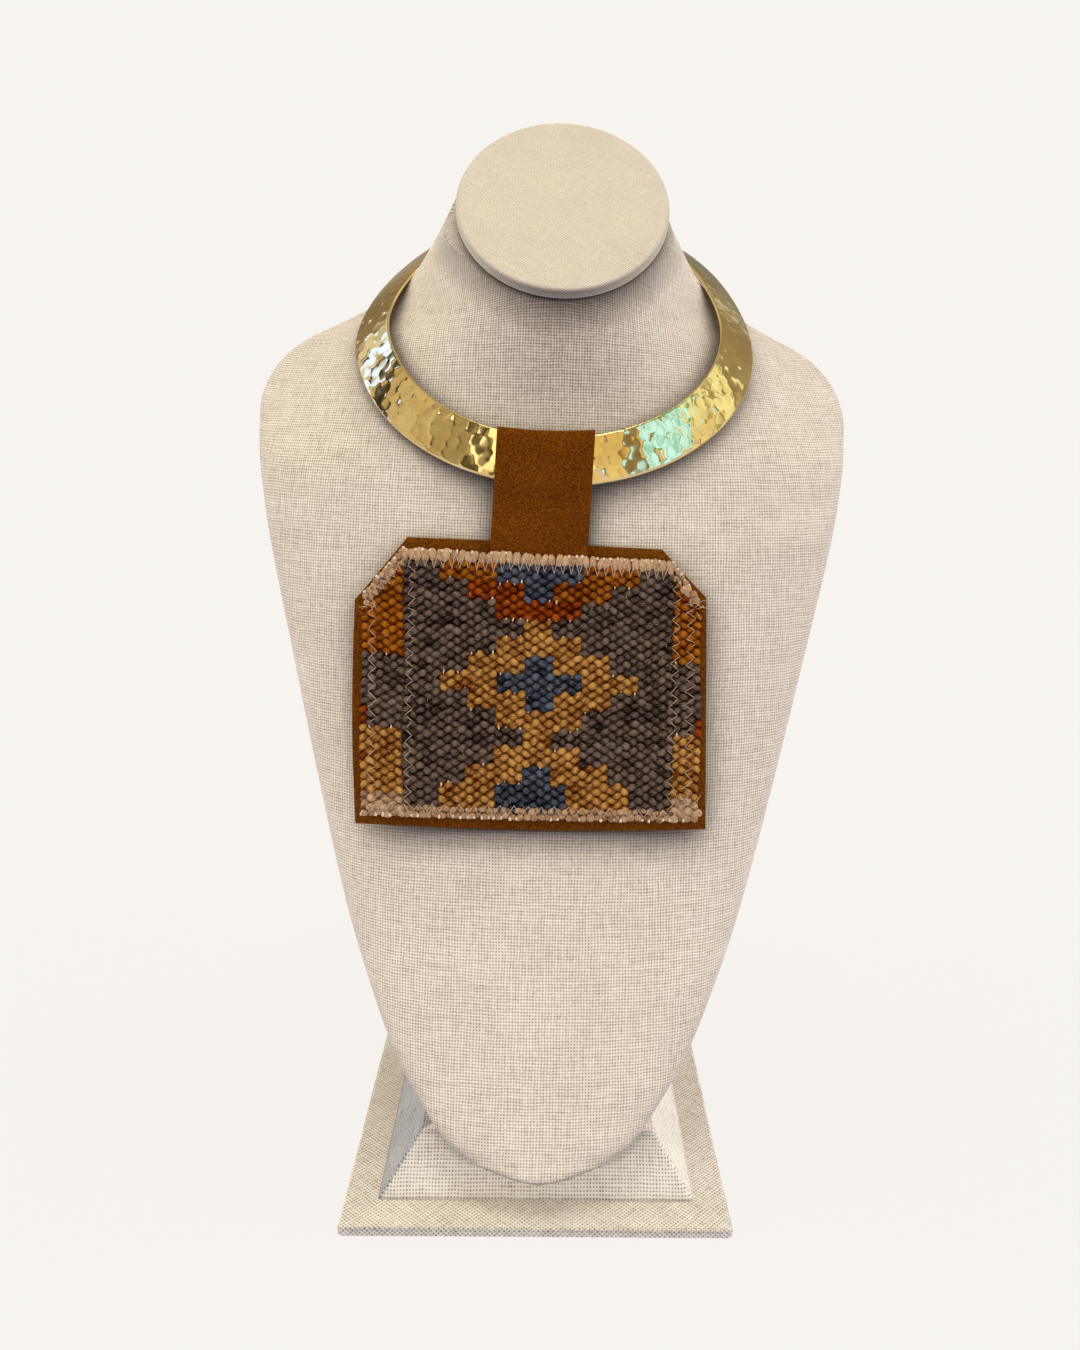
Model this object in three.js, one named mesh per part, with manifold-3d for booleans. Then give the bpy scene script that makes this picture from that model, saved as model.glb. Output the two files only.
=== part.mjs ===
// Skinny choker on a neck bust: a brass collar with a suede strap and a woven pendant.
// Millimetres, +X to the wearer's left, +Y to the back, +Z up, origin under the middle of the base.

import * as THREE from 'three';
import { mergeVertices } from 'three/addons/utils/BufferGeometryUtils.js';
import Module from 'manifold-3d';

const wasm = await Module();
wasm.setup();

const rad = THREE.MathUtils.degToRad;

// ---------- driving dimensions ----------

const GAP = 0.3; // clearance that touching pieces keep

const BASE = { width: 121, depth: 125, thickness: 3, corner: 1.5 };

const RISER = { foot: 100, height: 17, slope: 12, frontInset: 13 };

// The bust, in level sections from its tip up to the neck. Columns: z height; half half width; front and
// back the ends in Y on the middle plane; side the Y of the widest point; blunt the roundness of its ends
// (0.5 an oval, less is boxier); frontPinch and backPinch how thin the section is out towards the shoulders.
const BUST_MIDDLE = 0.4;
const BUST_NOSE = 2.2; // how broad a section is round its middle
const BUST_SECTIONS = [
  { z: 15.2, half: 2.5, front: -58.4, side: -56.5, back: -54, blunt: 0.5, frontPinch: 0, backPinch: 0 },
  { z: 16.8, half: 10.5, front: -59.5, side: -55.6, back: -49, blunt: 0.5, frontPinch: 0, backPinch: 0 },
  { z: 20.3, half: 21, front: -58.6, side: -53.8, back: -41.5, blunt: 0.45, frontPinch: 0, backPinch: 0 },
  { z: 20.3, half: 21, front: -58.6, side: -53.8, back: 35, blunt: 0.45, frontPinch: 0, backPinch: 0 },
  { z: 26, half: 29.4, front: -56.9, side: -50.4, back: 37, blunt: 0.43, frontPinch: 0, backPinch: 0 },
  { z: 34, half: 36.2, front: -54.2, side: -45.7, back: 40, blunt: 0.42, frontPinch: 0, backPinch: 0 },
  { z: 48, half: 46.1, front: -49.6, side: -37.1, back: 44.5, blunt: 0.42, frontPinch: 0, backPinch: 0 },
  { z: 67, half: 55.6, front: -43.4, side: -25.9, back: 50.5, blunt: 0.42, frontPinch: 0, backPinch: 0 },
  { z: 89, half: 64.7, front: -36.3, side: -13.1, back: 57, blunt: 0.42, frontPinch: 0, backPinch: 0 },
  { z: 125, half: 75.5, front: -24.7, side: 2, back: 66.5, blunt: 0.42, frontPinch: 0, backPinch: 0 },
  { z: 164, half: 86.1, front: -12.1, side: 16.9, back: 77, blunt: 0.42, frontPinch: 0, backPinch: 0 },
  { z: 203, half: 96.8, front: 0.5, side: 33.5, back: 88, blunt: 0.42, frontPinch: 0.02, backPinch: 0 },
  { z: 220, half: 101.3, front: 5.9, side: 44, back: 93, blunt: 0.44, frontPinch: 0.1, backPinch: 0.05 },
  { z: 230, half: 103.7, front: 9.2, side: 51, back: 96, blunt: 0.46, frontPinch: 0.22, backPinch: 0.1 },
  { z: 239, half: 105.2, front: 12, side: 58, back: 99, blunt: 0.48, frontPinch: 0.42, backPinch: 0.18 },
  { z: 248, half: 105.9, front: 14.8, side: 64, back: 101.5, blunt: 0.5, frontPinch: 0.62, backPinch: 0.3 },
  { z: 258, half: 102.5, front: 17.4, side: 69, back: 103, blunt: 0.5, frontPinch: 0.77, backPinch: 0.45 },
  { z: 266, half: 95.5, front: 19, side: 71, back: 103, blunt: 0.5, frontPinch: 0.84, backPinch: 0.55 },
  { z: 271, half: 87.5, front: 19.7, side: 71, back: 102, blunt: 0.5, frontPinch: 0.84, backPinch: 0.6 },
  { z: 276, half: 76.6, front: 20.3, side: 70.5, back: 100, blunt: 0.5, frontPinch: 0.8, backPinch: 0.6 },
  { z: 284, half: 61.7, front: 21, side: 69, back: 96, blunt: 0.5, frontPinch: 0.66, backPinch: 0.5 },
  { z: 292, half: 51.6, front: 21.5, side: 66, back: 91, blunt: 0.5, frontPinch: 0.45, backPinch: 0.35 },
  { z: 302, half: 43.9, front: 22, side: 61, back: 86.5, blunt: 0.5, frontPinch: 0.2, backPinch: 0.15 },
  { z: 314, half: 37, front: 22, side: 56, back: 84.5, blunt: 0.5, frontPinch: 0, backPinch: 0 },
  { z: 330, half: 35, front: 22, side: 54.5, back: 84, blunt: 0.5, frontPinch: 0, backPinch: 0 },
  { z: 362, half: 35, front: 22, side: 54.5, back: 87, blunt: 0.5, frontPinch: 0, backPinch: 0 },
];
const BUST_RING_POINTS = 48;
const BUST_STEPS_BETWEEN = 2;

// The oval cap on the slanted neck: halfWidth and halfLength of its rim, slant from level.
const CAP = {
  x: 1.6, y: 53.6, z: 315.2, halfWidth: 36.6, halfLength: 46.8, slant: 44, thickness: 4, edge: 1.2,
};

// The collar: a band on a shallow cone, tipped forward on the shoulders. Angles are in degrees.
const COLLAR = {
  x: 0.6, y: 48, z: 274, tilt: 43.7, roll: -0.95,
  lowerRadius: 68.8, upperRadius: 56.5, rise: 9.5, thickness: 1.2, crown: 0.5, rim: 0.03,
  claspHalfAngle: 8, claspThickness: 2.2, stepAngle: 4,
};
const BAND_WIDTH = Math.hypot(COLLAR.lowerRadius - COLLAR.upperRadius, COLLAR.rise);

// The flat lie of the chest, which the pendant follows: a line in the middle plane.
const CHEST = { footY: -59.5, footZ: 17, lean: 17.87 };

// The strap: slack is its play round the band, joinBelow where its two layers meet under the band, tailUp
// how far up the chest its sewn end reaches down to, drift how far it slants sideways per millimetre down.
const STRAP = {
  left: -17.6, width: 30.4, layer: 1.1, slack: 0.55, joinBelow: 6, tailUp: 180, drift: -0.04, steps: 8,
};

// The pendant, measured up the chest from its foot and outwards from it.
const BACKING = {
  left: -60.2, width: 110.2, foot: 107.8, height: 89.6, cutWide: 15, cutHigh: 18, out: 0.4, thickness: 1.5,
};
const KILIM = {
  left: -57.8, width: 105.4, foot: 109.8, height: 81.8, cutWide: 11, cutHigh: 13, out: 2.2, thickness: 3.6,
  edge: 0.8,
};

// ---------- materials ----------

const linen = new THREE.MeshStandardMaterial({ color: 0xd8cab6, roughness: 0.95, metalness: 0 });
const brass = new THREE.MeshStandardMaterial({ color: 0xd2ab5c, roughness: 0.25, metalness: 1 });
const suede = new THREE.MeshStandardMaterial({ color: 0x6e3a0c, roughness: 1, metalness: 0 });
const wool = new THREE.MeshStandardMaterial({ color: 0x9c7a4c, roughness: 1, metalness: 0 });

// ---------- geometry helpers ----------

/** A closed mesh through rings of equally many points, with a flat fan over each end. */
function loftRings(rings) {
  const count = rings[0].length;
  const positions = [];
  const index = [];
  rings.forEach((ring) => ring.forEach((p) => positions.push(p.x, p.y, p.z)));
  for (let r = 0; r < rings.length - 1; r += 1) {
    for (let i = 0; i < count; i += 1) {
      const a = r * count + i;
      const b = r * count + ((i + 1) % count);
      index.push(a, b, b + count, a, b + count, a + count);
    }
  }
  [0, rings.length - 1].forEach((r) => {
    const centre = new THREE.Vector3();
    rings[r].forEach((p) => centre.addScaledVector(p, 1 / count));
    const hub = positions.length / 3;
    positions.push(centre.x, centre.y, centre.z);
    for (let i = 0; i < count; i += 1) {
      const a = r * count + i;
      const b = r * count + ((i + 1) % count);
      if (r === 0) index.push(hub, b, a);
      else index.push(hub, a, b);
    }
  });
  const geometry = new THREE.BufferGeometry();
  geometry.setAttribute('position', new THREE.Float32BufferAttribute(positions, 3));
  geometry.setIndex(index);
  return geometry;
}

/** The geometry as a manifold solid, with its shared vertices merged. */
function toSolid(geometry) {
  const bare = geometry.clone();
  bare.deleteAttribute('normal');
  bare.deleteAttribute('uv');
  const merged = mergeVertices(bare, 1e-4);
  return new wasm.Manifold(new wasm.Mesh({
    numProp: 3,
    vertProperties: new Float32Array(merged.attributes.position.array),
    triVerts: new Uint32Array(merged.index.array),
  }));
}

/** A manifold solid as a geometry. */
function toGeometry(solid) {
  const mesh = solid.getMesh();
  const geometry = new THREE.BufferGeometry();
  geometry.setAttribute('position', new THREE.BufferAttribute(new Float32Array(mesh.vertProperties), 3));
  geometry.setIndex(Array.from(mesh.triVerts));
  return geometry;
}

function namedMesh(name, geometry, material) {
  const mesh = new THREE.Mesh(geometry, material.clone());
  mesh.name = name;
  return mesh;
}

/** The value between b and c of a smooth curve through a, b, c and d, for steps of unequal length. */
function smoothBetween(before, from, to, after, key, share) {
  const span = to.z - from.z;
  const slope = (low, high) => (high.z > low.z ? (high[key] - low[key]) / (high.z - low.z) : 0);
  const startSlope = before ? slope(before, to) : slope(from, to);
  const endSlope = after ? slope(from, after) : slope(from, to);
  const s2 = share * share;
  const s3 = s2 * share;
  return (2 * s3 - 3 * s2 + 1) * from[key] + (s3 - 2 * s2 + share) * span * startSlope
    + (3 * s2 - 2 * s3) * to[key] + (s3 - s2) * span * endSlope;
}

// ---------- the stand ----------

function makeBaseBoard() {
  const { width, depth, thickness, corner } = BASE;
  const shape = new THREE.Shape();
  const x = width / 2;
  const y = depth / 2;
  shape.moveTo(-x + corner, -y);
  shape.lineTo(x - corner, -y);
  shape.absarc(x - corner, -y + corner, corner, -Math.PI / 2, 0);
  shape.lineTo(x, y - corner);
  shape.absarc(x - corner, y - corner, corner, 0, Math.PI / 2);
  shape.lineTo(-x + corner, y);
  shape.absarc(-x + corner, y - corner, corner, Math.PI / 2, Math.PI);
  shape.lineTo(-x, -y + corner);
  shape.absarc(-x + corner, -y + corner, corner, Math.PI, Math.PI * 1.5);
  const geometry = new THREE.ExtrudeGeometry(shape, {
    depth: thickness, bevelEnabled: false, curveSegments: 4,
  });
  return namedMesh('base_board', geometry, linen);
}

function makeRiser() {
  const { foot, height, slope, frontInset } = RISER;
  const square = (side, z) => [[-1, -1], [1, -1], [1, 1], [-1, 1]]
    .map(([x, y]) => new THREE.Vector3((x * side) / 2, (y * side) / 2, z));
  const geometry = loftRings([square(foot, 0), square(foot - 2 * slope, height - GAP)]);
  const mesh = namedMesh('riser', geometry, linen);
  mesh.position.set(0, -BASE.depth / 2 + frontInset + foot / 2, BASE.thickness + GAP);
  return mesh;
}

/** One level section of the bust as a ring of points. */
function bustRing(section) {
  const ring = [];
  for (let i = 0; i < BUST_RING_POINTS; i += 1) {
    const angle = (i / BUST_RING_POINTS) * Math.PI * 2;
    const across = Math.cos(angle);
    const inFront = Math.sin(angle) < 0;
    const pinch = inFront ? section.frontPinch : section.backPinch;
    const end = inFront ? section.front : section.back;
    const round = Math.max(0, 1 - Math.abs(across) ** BUST_NOSE) ** section.blunt;
    const swell = round * (1 - pinch * across ** 2);
    ring.push(new THREE.Vector3(
      BUST_MIDDLE + section.half * across,
      section.side + (end - section.side) * swell,
      section.z,
    ));
  }
  return ring;
}

/** All the bust's rings: the table's sections with smooth ones between them. */
function bustRings() {
  const rings = [];
  BUST_SECTIONS.forEach((from, i) => {
    rings.push(bustRing(from));
    const to = BUST_SECTIONS[i + 1];
    if (!to || to.z === from.z) return;
    const level = (a, b) => (a && b && a.z !== b.z ? a : undefined);
    const before = level(BUST_SECTIONS[i - 1], from);
    const after = level(BUST_SECTIONS[i + 2], to);
    for (let s = 1; s < BUST_STEPS_BETWEEN; s += 1) {
      const share = s / BUST_STEPS_BETWEEN;
      const between = { z: from.z + (to.z - from.z) * share };
      ['half', 'front', 'side', 'back', 'blunt', 'frontPinch', 'backPinch'].forEach((key) => {
        between[key] = smoothBetween(before, from, to, after, key, share);
      });
      rings.push(bustRing(between));
    }
  });
  return rings;
}

/** A block that covers everything above the slanted cut of the neck. */
function neckCutter() {
  const size = 300;
  const below = CAP.thickness / 2 + GAP;
  const box = new THREE.BoxGeometry(size, size, size);
  box.translate(0, 0, size / 2 - below);
  box.rotateX(rad(CAP.slant));
  box.translate(CAP.x, CAP.y, CAP.z);
  return box;
}

function makeNeckForm() {
  const solid = toSolid(loftRings(bustRings())).subtract(toSolid(neckCutter()));
  return namedMesh('neck_form', toGeometry(solid), linen);
}

function makeNeckCap() {
  const { halfWidth, halfLength, thickness, edge } = CAP;
  const oval = (inset, z) => {
    const points = new THREE.EllipseCurve(0, 0, halfWidth - inset, halfLength - inset).getPoints(56);
    return points.slice(0, -1).map((p) => new THREE.Vector3(p.x, p.y, z));
  };
  const soft = edge * 0.3;
  const geometry = loftRings([
    oval(edge, -thickness / 2),
    oval(soft, -thickness / 2 + soft),
    oval(0, -thickness / 2 + edge),
    oval(0, thickness / 2 - edge),
    oval(soft, thickness / 2 - soft),
    oval(edge, thickness / 2),
  ]);
  const mesh = namedMesh('neck_cap', geometry, linen);
  mesh.position.set(CAP.x, CAP.y, CAP.z);
  mesh.rotation.x = rad(CAP.slant);
  return mesh;
}

// ---------- the collar ----------

/** A point of the band: turn round the neck from the front, across from its lower edge, and out from it. */
function bandPoint(turn, across, out) {
  const { lowerRadius, upperRadius, rise } = COLLAR;
  const radius = THREE.MathUtils.lerp(lowerRadius, upperRadius, across) + (out * rise) / BAND_WIDTH;
  const height = (across - 0.5) * rise + (out * (lowerRadius - upperRadius)) / BAND_WIDTH;
  return new THREE.Vector3(radius * Math.sin(turn), -radius * Math.cos(turn), height);
}

/** A stretch of band between two turns, crowned outwards. */
function makeBand(from, to, steps, thickness, crown) {
  const side = thickness / 2;
  const { rim } = COLLAR;
  const crowned = [0.75, 0.5, 0.25].map((across) => [across, side + crown * (1 - (2 * across - 1) ** 2)]);
  const section = [
    [rim, -side], [1 - rim, -side], [1, 0], [1 - rim, side], ...crowned, [rim, side], [0, 0],
  ];
  const rings = [];
  for (let s = 0; s <= steps; s += 1) {
    const turn = THREE.MathUtils.lerp(from, to, s / steps);
    rings.push(section.map(([across, out]) => bandPoint(turn, across, out)));
  }
  return loftRings(rings);
}

function makeCollar() {
  const { claspHalfAngle, claspThickness, stepAngle, thickness, crown, upperRadius } = COLLAR;
  const end = 180 - claspHalfAngle;
  const seam = THREE.MathUtils.radToDeg(GAP / upperRadius);
  const group = new THREE.Group();
  group.add(namedMesh(
    'collar',
    makeBand(rad(-end), rad(end), Math.round((2 * end) / stepAngle), thickness, crown),
    brass,
  ));
  group.add(namedMesh(
    'collar_clasp',
    makeBand(rad(end + seam), rad(360 - end - seam), 4, claspThickness, crown),
    brass,
  ));
  group.position.set(COLLAR.x, COLLAR.y, COLLAR.z);
  group.rotation.order = 'YXZ';
  group.rotation.set(rad(COLLAR.tilt), rad(COLLAR.roll), 0);
  return group;
}

// ---------- the strap ----------

/** Where the band's front lies in the middle plane (Y, Z): up it from its middle, and out from it. */
function bandFront(up, out) {
  const { y, z, tilt } = COLLAR;
  const local = bandPoint(0, 0.5 + up / BAND_WIDTH, out);
  return new THREE.Vector2(
    y + local.y * Math.cos(rad(tilt)) - local.z * Math.sin(rad(tilt)),
    z + local.y * Math.sin(rad(tilt)) + local.z * Math.cos(rad(tilt)),
  );
}

const COLLAR_FRONT_HEIGHT = bandFront(0, 0).y;

/** A point over the chest in the middle plane (Y, Z): up it from its foot, and out from it. */
function overChest(up, out) {
  const lean = rad(CHEST.lean);
  return new THREE.Vector2(
    CHEST.footY + up * Math.sin(lean) - out * Math.cos(lean),
    CHEST.footZ + up * Math.cos(lean) + out * Math.sin(lean),
  );
}

/** The strap seen from its edge: a loop round the band whose two layers run on as one tail. */
function strapProfile() {
  const { layer, slack, joinBelow, tailUp } = STRAP;
  const half = BAND_WIDTH / 2;
  const front = COLLAR.thickness / 2 + COLLAR.crown + slack;
  const back = -COLLAR.thickness / 2 - slack;
  const middle = (front + back) / 2;
  const top = half + slack;
  const tailFront = KILIM.out + 2 * layer;
  const lipUp = BACKING.foot + BACKING.height;
  const roundOver = 0.75 * layer; // how far out the fold still is level with the band's top edge

  const outer = new THREE.Shape();
  const start = overChest(tailUp, tailFront);
  const lip = overChest(lipUp, tailFront);
  const end = overChest(tailUp, KILIM.out);
  outer.moveTo(start.x, start.y);
  outer.lineTo(lip.x, lip.y);
  outer.splineThru([
    bandFront(-half - joinBelow, middle + layer),
    bandFront(-half, front + layer),
    bandFront(half / 2, front + layer),
    bandFront(top, front + roundOver),
    bandFront(top + layer, middle),
    bandFront(top, back - roundOver),
    bandFront(half / 2, back - layer),
    bandFront(-half, back - layer),
    bandFront(-half - joinBelow, middle - layer),
    overChest(lipUp, KILIM.out),
  ]);
  outer.lineTo(end.x, end.y);
  outer.closePath();

  const turnIn = top - slack; // where the fold begins to turn over the band
  const hole = new THREE.Path();
  const inner = [
    bandFront(-half - joinBelow * 0.75, middle),
    bandFront(-half, back),
    bandFront(turnIn, back),
    bandFront(top, middle),
    bandFront(turnIn, front),
    bandFront(-half, front),
  ];
  hole.moveTo(inner[0].x, inner[0].y);
  inner.slice(1).forEach((p) => hole.lineTo(p.x, p.y));
  hole.closePath();
  outer.holes.push(hole);
  return outer;
}

function makeStrap() {
  const { left, width, drift, steps } = STRAP;
  const geometry = new THREE.ExtrudeGeometry(strapProfile(), {
    depth: width, steps, bevelEnabled: false, curveSegments: 3,
  });
  const turn = new THREE.Matrix4().makeBasis(
    new THREE.Vector3(0, 1, 0), new THREE.Vector3(0, 0, 1), new THREE.Vector3(1, 0, 0),
  );
  geometry.applyMatrix4(turn);
  geometry.translate(left, 0, 0);

  // Round the band the strap bends with it, and further down it lies flat.
  const bandLow = bandFront(-BAND_WIDTH / 2, 0).y;
  const bandTop = bandFront(BAND_WIDTH / 2, 0).y;
  const flatFrom = overChest(BACKING.foot + BACKING.height, 0).y;
  const at = geometry.attributes.position;
  for (let i = 0; i < at.count; i += 1) {
    const height = at.getZ(i);
    const aside = at.getX(i) - COLLAR.x;
    const bent = THREE.MathUtils.smoothstep(height, flatFrom, bandLow);
    const radius = THREE.MathUtils.mapLinear(
      Math.max(height, bandLow), bandLow, bandTop, COLLAR.lowerRadius, COLLAR.upperRadius,
    );
    const recede = (radius - Math.sqrt(radius ** 2 - aside ** 2)) * bent;
    const lift = -aside * Math.sin(rad(COLLAR.roll)) * bent;
    at.setXYZ(
      i,
      at.getX(i) + drift * (COLLAR_FRONT_HEIGHT - height),
      at.getY(i) + recede * Math.cos(rad(COLLAR.tilt)),
      height + recede * Math.sin(rad(COLLAR.tilt)) + lift,
    );
  }
  return namedMesh('strap', geometry, suede);
}

// ---------- the pendant ----------

/** The outline of an upright panel with its two upper corners cut off, set in from its edge. */
function panelRing({ left, width, foot, height, cutWide, cutHigh }, inset, out) {
  const right = left + width - inset;
  const top = foot + height - inset;
  const low = foot + inset;
  return [
    [left + inset, low], [right, low], [right, top - cutHigh],
    [right - cutWide, top], [left + inset + cutWide, top], [left + inset, top - cutHigh],
  ].map(([x, up]) => new THREE.Vector3(x, up, out));
}

function makeBacking() {
  const { out, thickness } = BACKING;
  const geometry = loftRings([panelRing(BACKING, 0, out), panelRing(BACKING, 0, out + thickness)]);
  return namedMesh('pendant_backing', geometry, suede);
}

/** The woven panel, hollowed behind its top edge where the strap's tail is sewn in. */
function makeKilim() {
  const { foot, height, out, thickness, edge } = KILIM;
  const panel = loftRings([
    panelRing(KILIM, 0, out),
    panelRing(KILIM, 0, out + thickness - edge),
    panelRing(KILIM, edge, out + thickness),
  ]);

  const past = 5; // how far the cutter stands past the panel's top and back
  const deep = 2 * (STRAP.layer + GAP);
  const low = STRAP.tailUp - GAP;
  const top = foot + height;
  const sewnAt = overChest((low + top) / 2, 0).y;
  const middle = STRAP.left + STRAP.width / 2 + STRAP.drift * (COLLAR_FRONT_HEIGHT - sewnAt);
  const pocket = new THREE.BoxGeometry(STRAP.width + 4 * GAP, top + past - low, deep + past);
  pocket.translate(middle, (low + top + past) / 2, out + (deep - past) / 2);
  return namedMesh('kilim_panel', toGeometry(toSolid(panel).subtract(toSolid(pocket))), wool);
}

function makePendant() {
  const group = new THREE.Group();
  group.add(makeBacking(), makeKilim());
  group.position.set(0, CHEST.footY, CHEST.footZ);
  group.rotation.x = rad(90 - CHEST.lean);
  return group;
}

// ---------- the whole ----------

const choker = new THREE.Group();
choker.add(
  makeBaseBoard(), makeRiser(), makeNeckForm(), makeNeckCap(),
  makeCollar(), makeStrap(), makePendant(),
);

export default choker;
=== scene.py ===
"""Looks of the skinny choker: a hammered brass collar with a suede strap and a kilim pendant.

The choker sits on a linen-covered neck bust. Shapes are worked out in millimetres, +X to the
wearer's left, +Y to the back and +Z up, with the origin under the middle of the base board.
"""

import logging
import math
from dataclasses import dataclass, field
from enum import Enum
from typing import Any, Sequence

import bmesh
import bpy
import numpy as np
from mathutils import Matrix

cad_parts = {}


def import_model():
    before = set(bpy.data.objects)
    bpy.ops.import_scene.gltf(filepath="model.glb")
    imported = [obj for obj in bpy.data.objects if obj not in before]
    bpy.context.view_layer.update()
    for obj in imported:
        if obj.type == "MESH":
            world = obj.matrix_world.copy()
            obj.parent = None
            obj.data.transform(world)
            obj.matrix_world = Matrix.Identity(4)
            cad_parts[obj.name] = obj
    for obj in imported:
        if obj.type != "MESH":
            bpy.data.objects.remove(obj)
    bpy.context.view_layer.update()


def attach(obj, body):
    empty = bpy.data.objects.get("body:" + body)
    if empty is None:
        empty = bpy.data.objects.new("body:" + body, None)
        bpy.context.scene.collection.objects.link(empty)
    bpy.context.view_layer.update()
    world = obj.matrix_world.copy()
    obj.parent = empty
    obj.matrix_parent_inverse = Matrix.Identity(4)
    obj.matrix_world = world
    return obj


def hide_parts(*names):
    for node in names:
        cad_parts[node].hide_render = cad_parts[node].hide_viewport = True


MM = 0.001
ROOT = "root"
log = logging.getLogger("choker")

Array = np.ndarray
Material = bpy.types.Material
Node = bpy.types.Node
Piece = bpy.types.Object
Socket = bpy.types.NodeSocket
Tree = bpy.types.NodeTree


# ---- Small tools ----


def linear(hex_colour: str) -> tuple[float, float, float, float]:
    """Turn an sRGB hex colour into the linear one that shaders take.

    Args:
        hex_colour: six hex digits, with or without a leading #.

    Returns:
        Linear red, green, blue and an alpha of one.
    """
    digits = hex_colour.lstrip("#")
    parts = [int(digits[i : i + 2], 16) / 255 for i in (0, 2, 4)]
    red, green, blue = (p / 12.92 if p <= 0.04045 else ((p + 0.055) / 1.055) ** 2.4 for p in parts)
    return red, green, blue, 1.0


def connect(tree: Tree, node: Node, inputs: dict[str | int, Any]) -> None:
    """Set or link a node's inputs.

    Args:
        tree: the node tree that the node is in.
        node: the node.
        inputs: for each input, by name or number, a value, a socket, or a node for its first output.
    """
    for key, value in inputs.items():
        if isinstance(value, Node):
            value = value.outputs[0]
        if isinstance(value, Socket):
            tree.links.new(value, node.inputs[key])
        else:
            node.inputs[key].default_value = value


def add_node(
    tree: Tree,
    kind: str,
    settings: dict[str, Any] | str | None = None,
    inputs: dict[str | int, Any] | Sequence[Any] = (),
) -> Node:
    """Add a node with its settings and links.

    Args:
        tree: the node tree that gets the node.
        kind: the node's type, without the "ShaderNode" that they all begin with.
        settings: attributes of the node, or only its operation.
        inputs: what goes into it, as for connect, or just in order.

    Returns:
        The new node.
    """
    node = tree.nodes.new("ShaderNode" + kind)
    if isinstance(settings, str):
        settings = {"operation": settings}
    for key, value in (settings or {}).items():
        setattr(node, key, value)
    connect(tree, node, inputs if isinstance(inputs, dict) else dict(enumerate(inputs)))
    return node


def set_ramp(node: Node, stops: Sequence[tuple[float, str]]) -> None:
    """Give a colour ramp its stops.

    Args:
        node: the colour ramp node.
        stops: place from 0 to 1 and sRGB hex colour of each stop.
    """
    elements = node.color_ramp.elements
    while len(elements) < len(stops):
        elements.new(1.0)
    for element, (place, colour) in zip(elements, stops):
        element.position = place
        element.color = linear(colour)


def start_material(name: str, constants: dict[str, Any]) -> tuple[Material, Tree, Node]:
    """Start a material.

    Args:
        name: its name.
        constants: what is the same all over it, by the name of the shader's socket.

    Returns:
        The material, its node tree and its shader.
    """
    material = bpy.data.materials.new(name)
    material.use_nodes = True
    shader = material.node_tree.nodes["Principled BSDF"]
    connect(material.node_tree, shader, constants)
    return material, material.node_tree, shader


def spin(a: Array, b: Array, angle: float) -> tuple[Array, Array]:
    """Turn two coordinates round the third axis by an angle in radians."""
    return a * math.cos(angle) - b * math.sin(angle), a * math.sin(angle) + b * math.cos(angle)


def smoothstep(low: float, high: float, value: Array | float) -> Array:
    """Ease from 0 at low to 1 at high."""
    share = np.clip((np.asarray(value, float) - low) / (high - low), 0, 1)
    return share * share * (3 - 2 * share)


def between(edges: tuple[float, ...], value: Array) -> Array:
    """Ease up from 0 to 1 between the first two edges, and down again between the last two."""
    return smoothstep(*edges[:2], value) * (1 - smoothstep(*edges[2:], value))


def turns(count: int) -> Array:
    """Even steps once round, in radians."""
    return np.arange(count) / count * 2 * np.pi


def heading(start: Sequence[float], end: Sequence[float]) -> tuple[float, Array, Array]:
    """Find the way from one flat place to another.

    Args:
        start: the one.
        end: the other.

    Returns:
        How far it is, the way there and the way to its left.
    """
    way = np.subtract(end, start)
    length = float(np.linalg.norm(way))
    return length, way / length, np.array([-way[1], way[0]]) / length


def catmull(points: Array, steps: int) -> Array:
    """Sample a smooth curve through points.

    Args:
        points: the points it goes through, one per row.
        steps: samples per span.

    Returns:
        The samples, from the first point to the last.
    """
    padded = np.vstack([2 * points[0] - points[1], points, 2 * points[-1] - points[-2]])
    share = np.arange(steps)[:, None] / steps
    out = []
    for a, b, c, d in zip(padded, padded[1:], padded[2:], padded[3:]):
        bend = (2 * a - 5 * b + 4 * c - d) * share**2 + (3 * b - a - 3 * c + d) * share**3
        out.append(0.5 * (2 * b + (c - a) * share + bend))
    return np.vstack([*out, points[-1:]])


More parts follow.
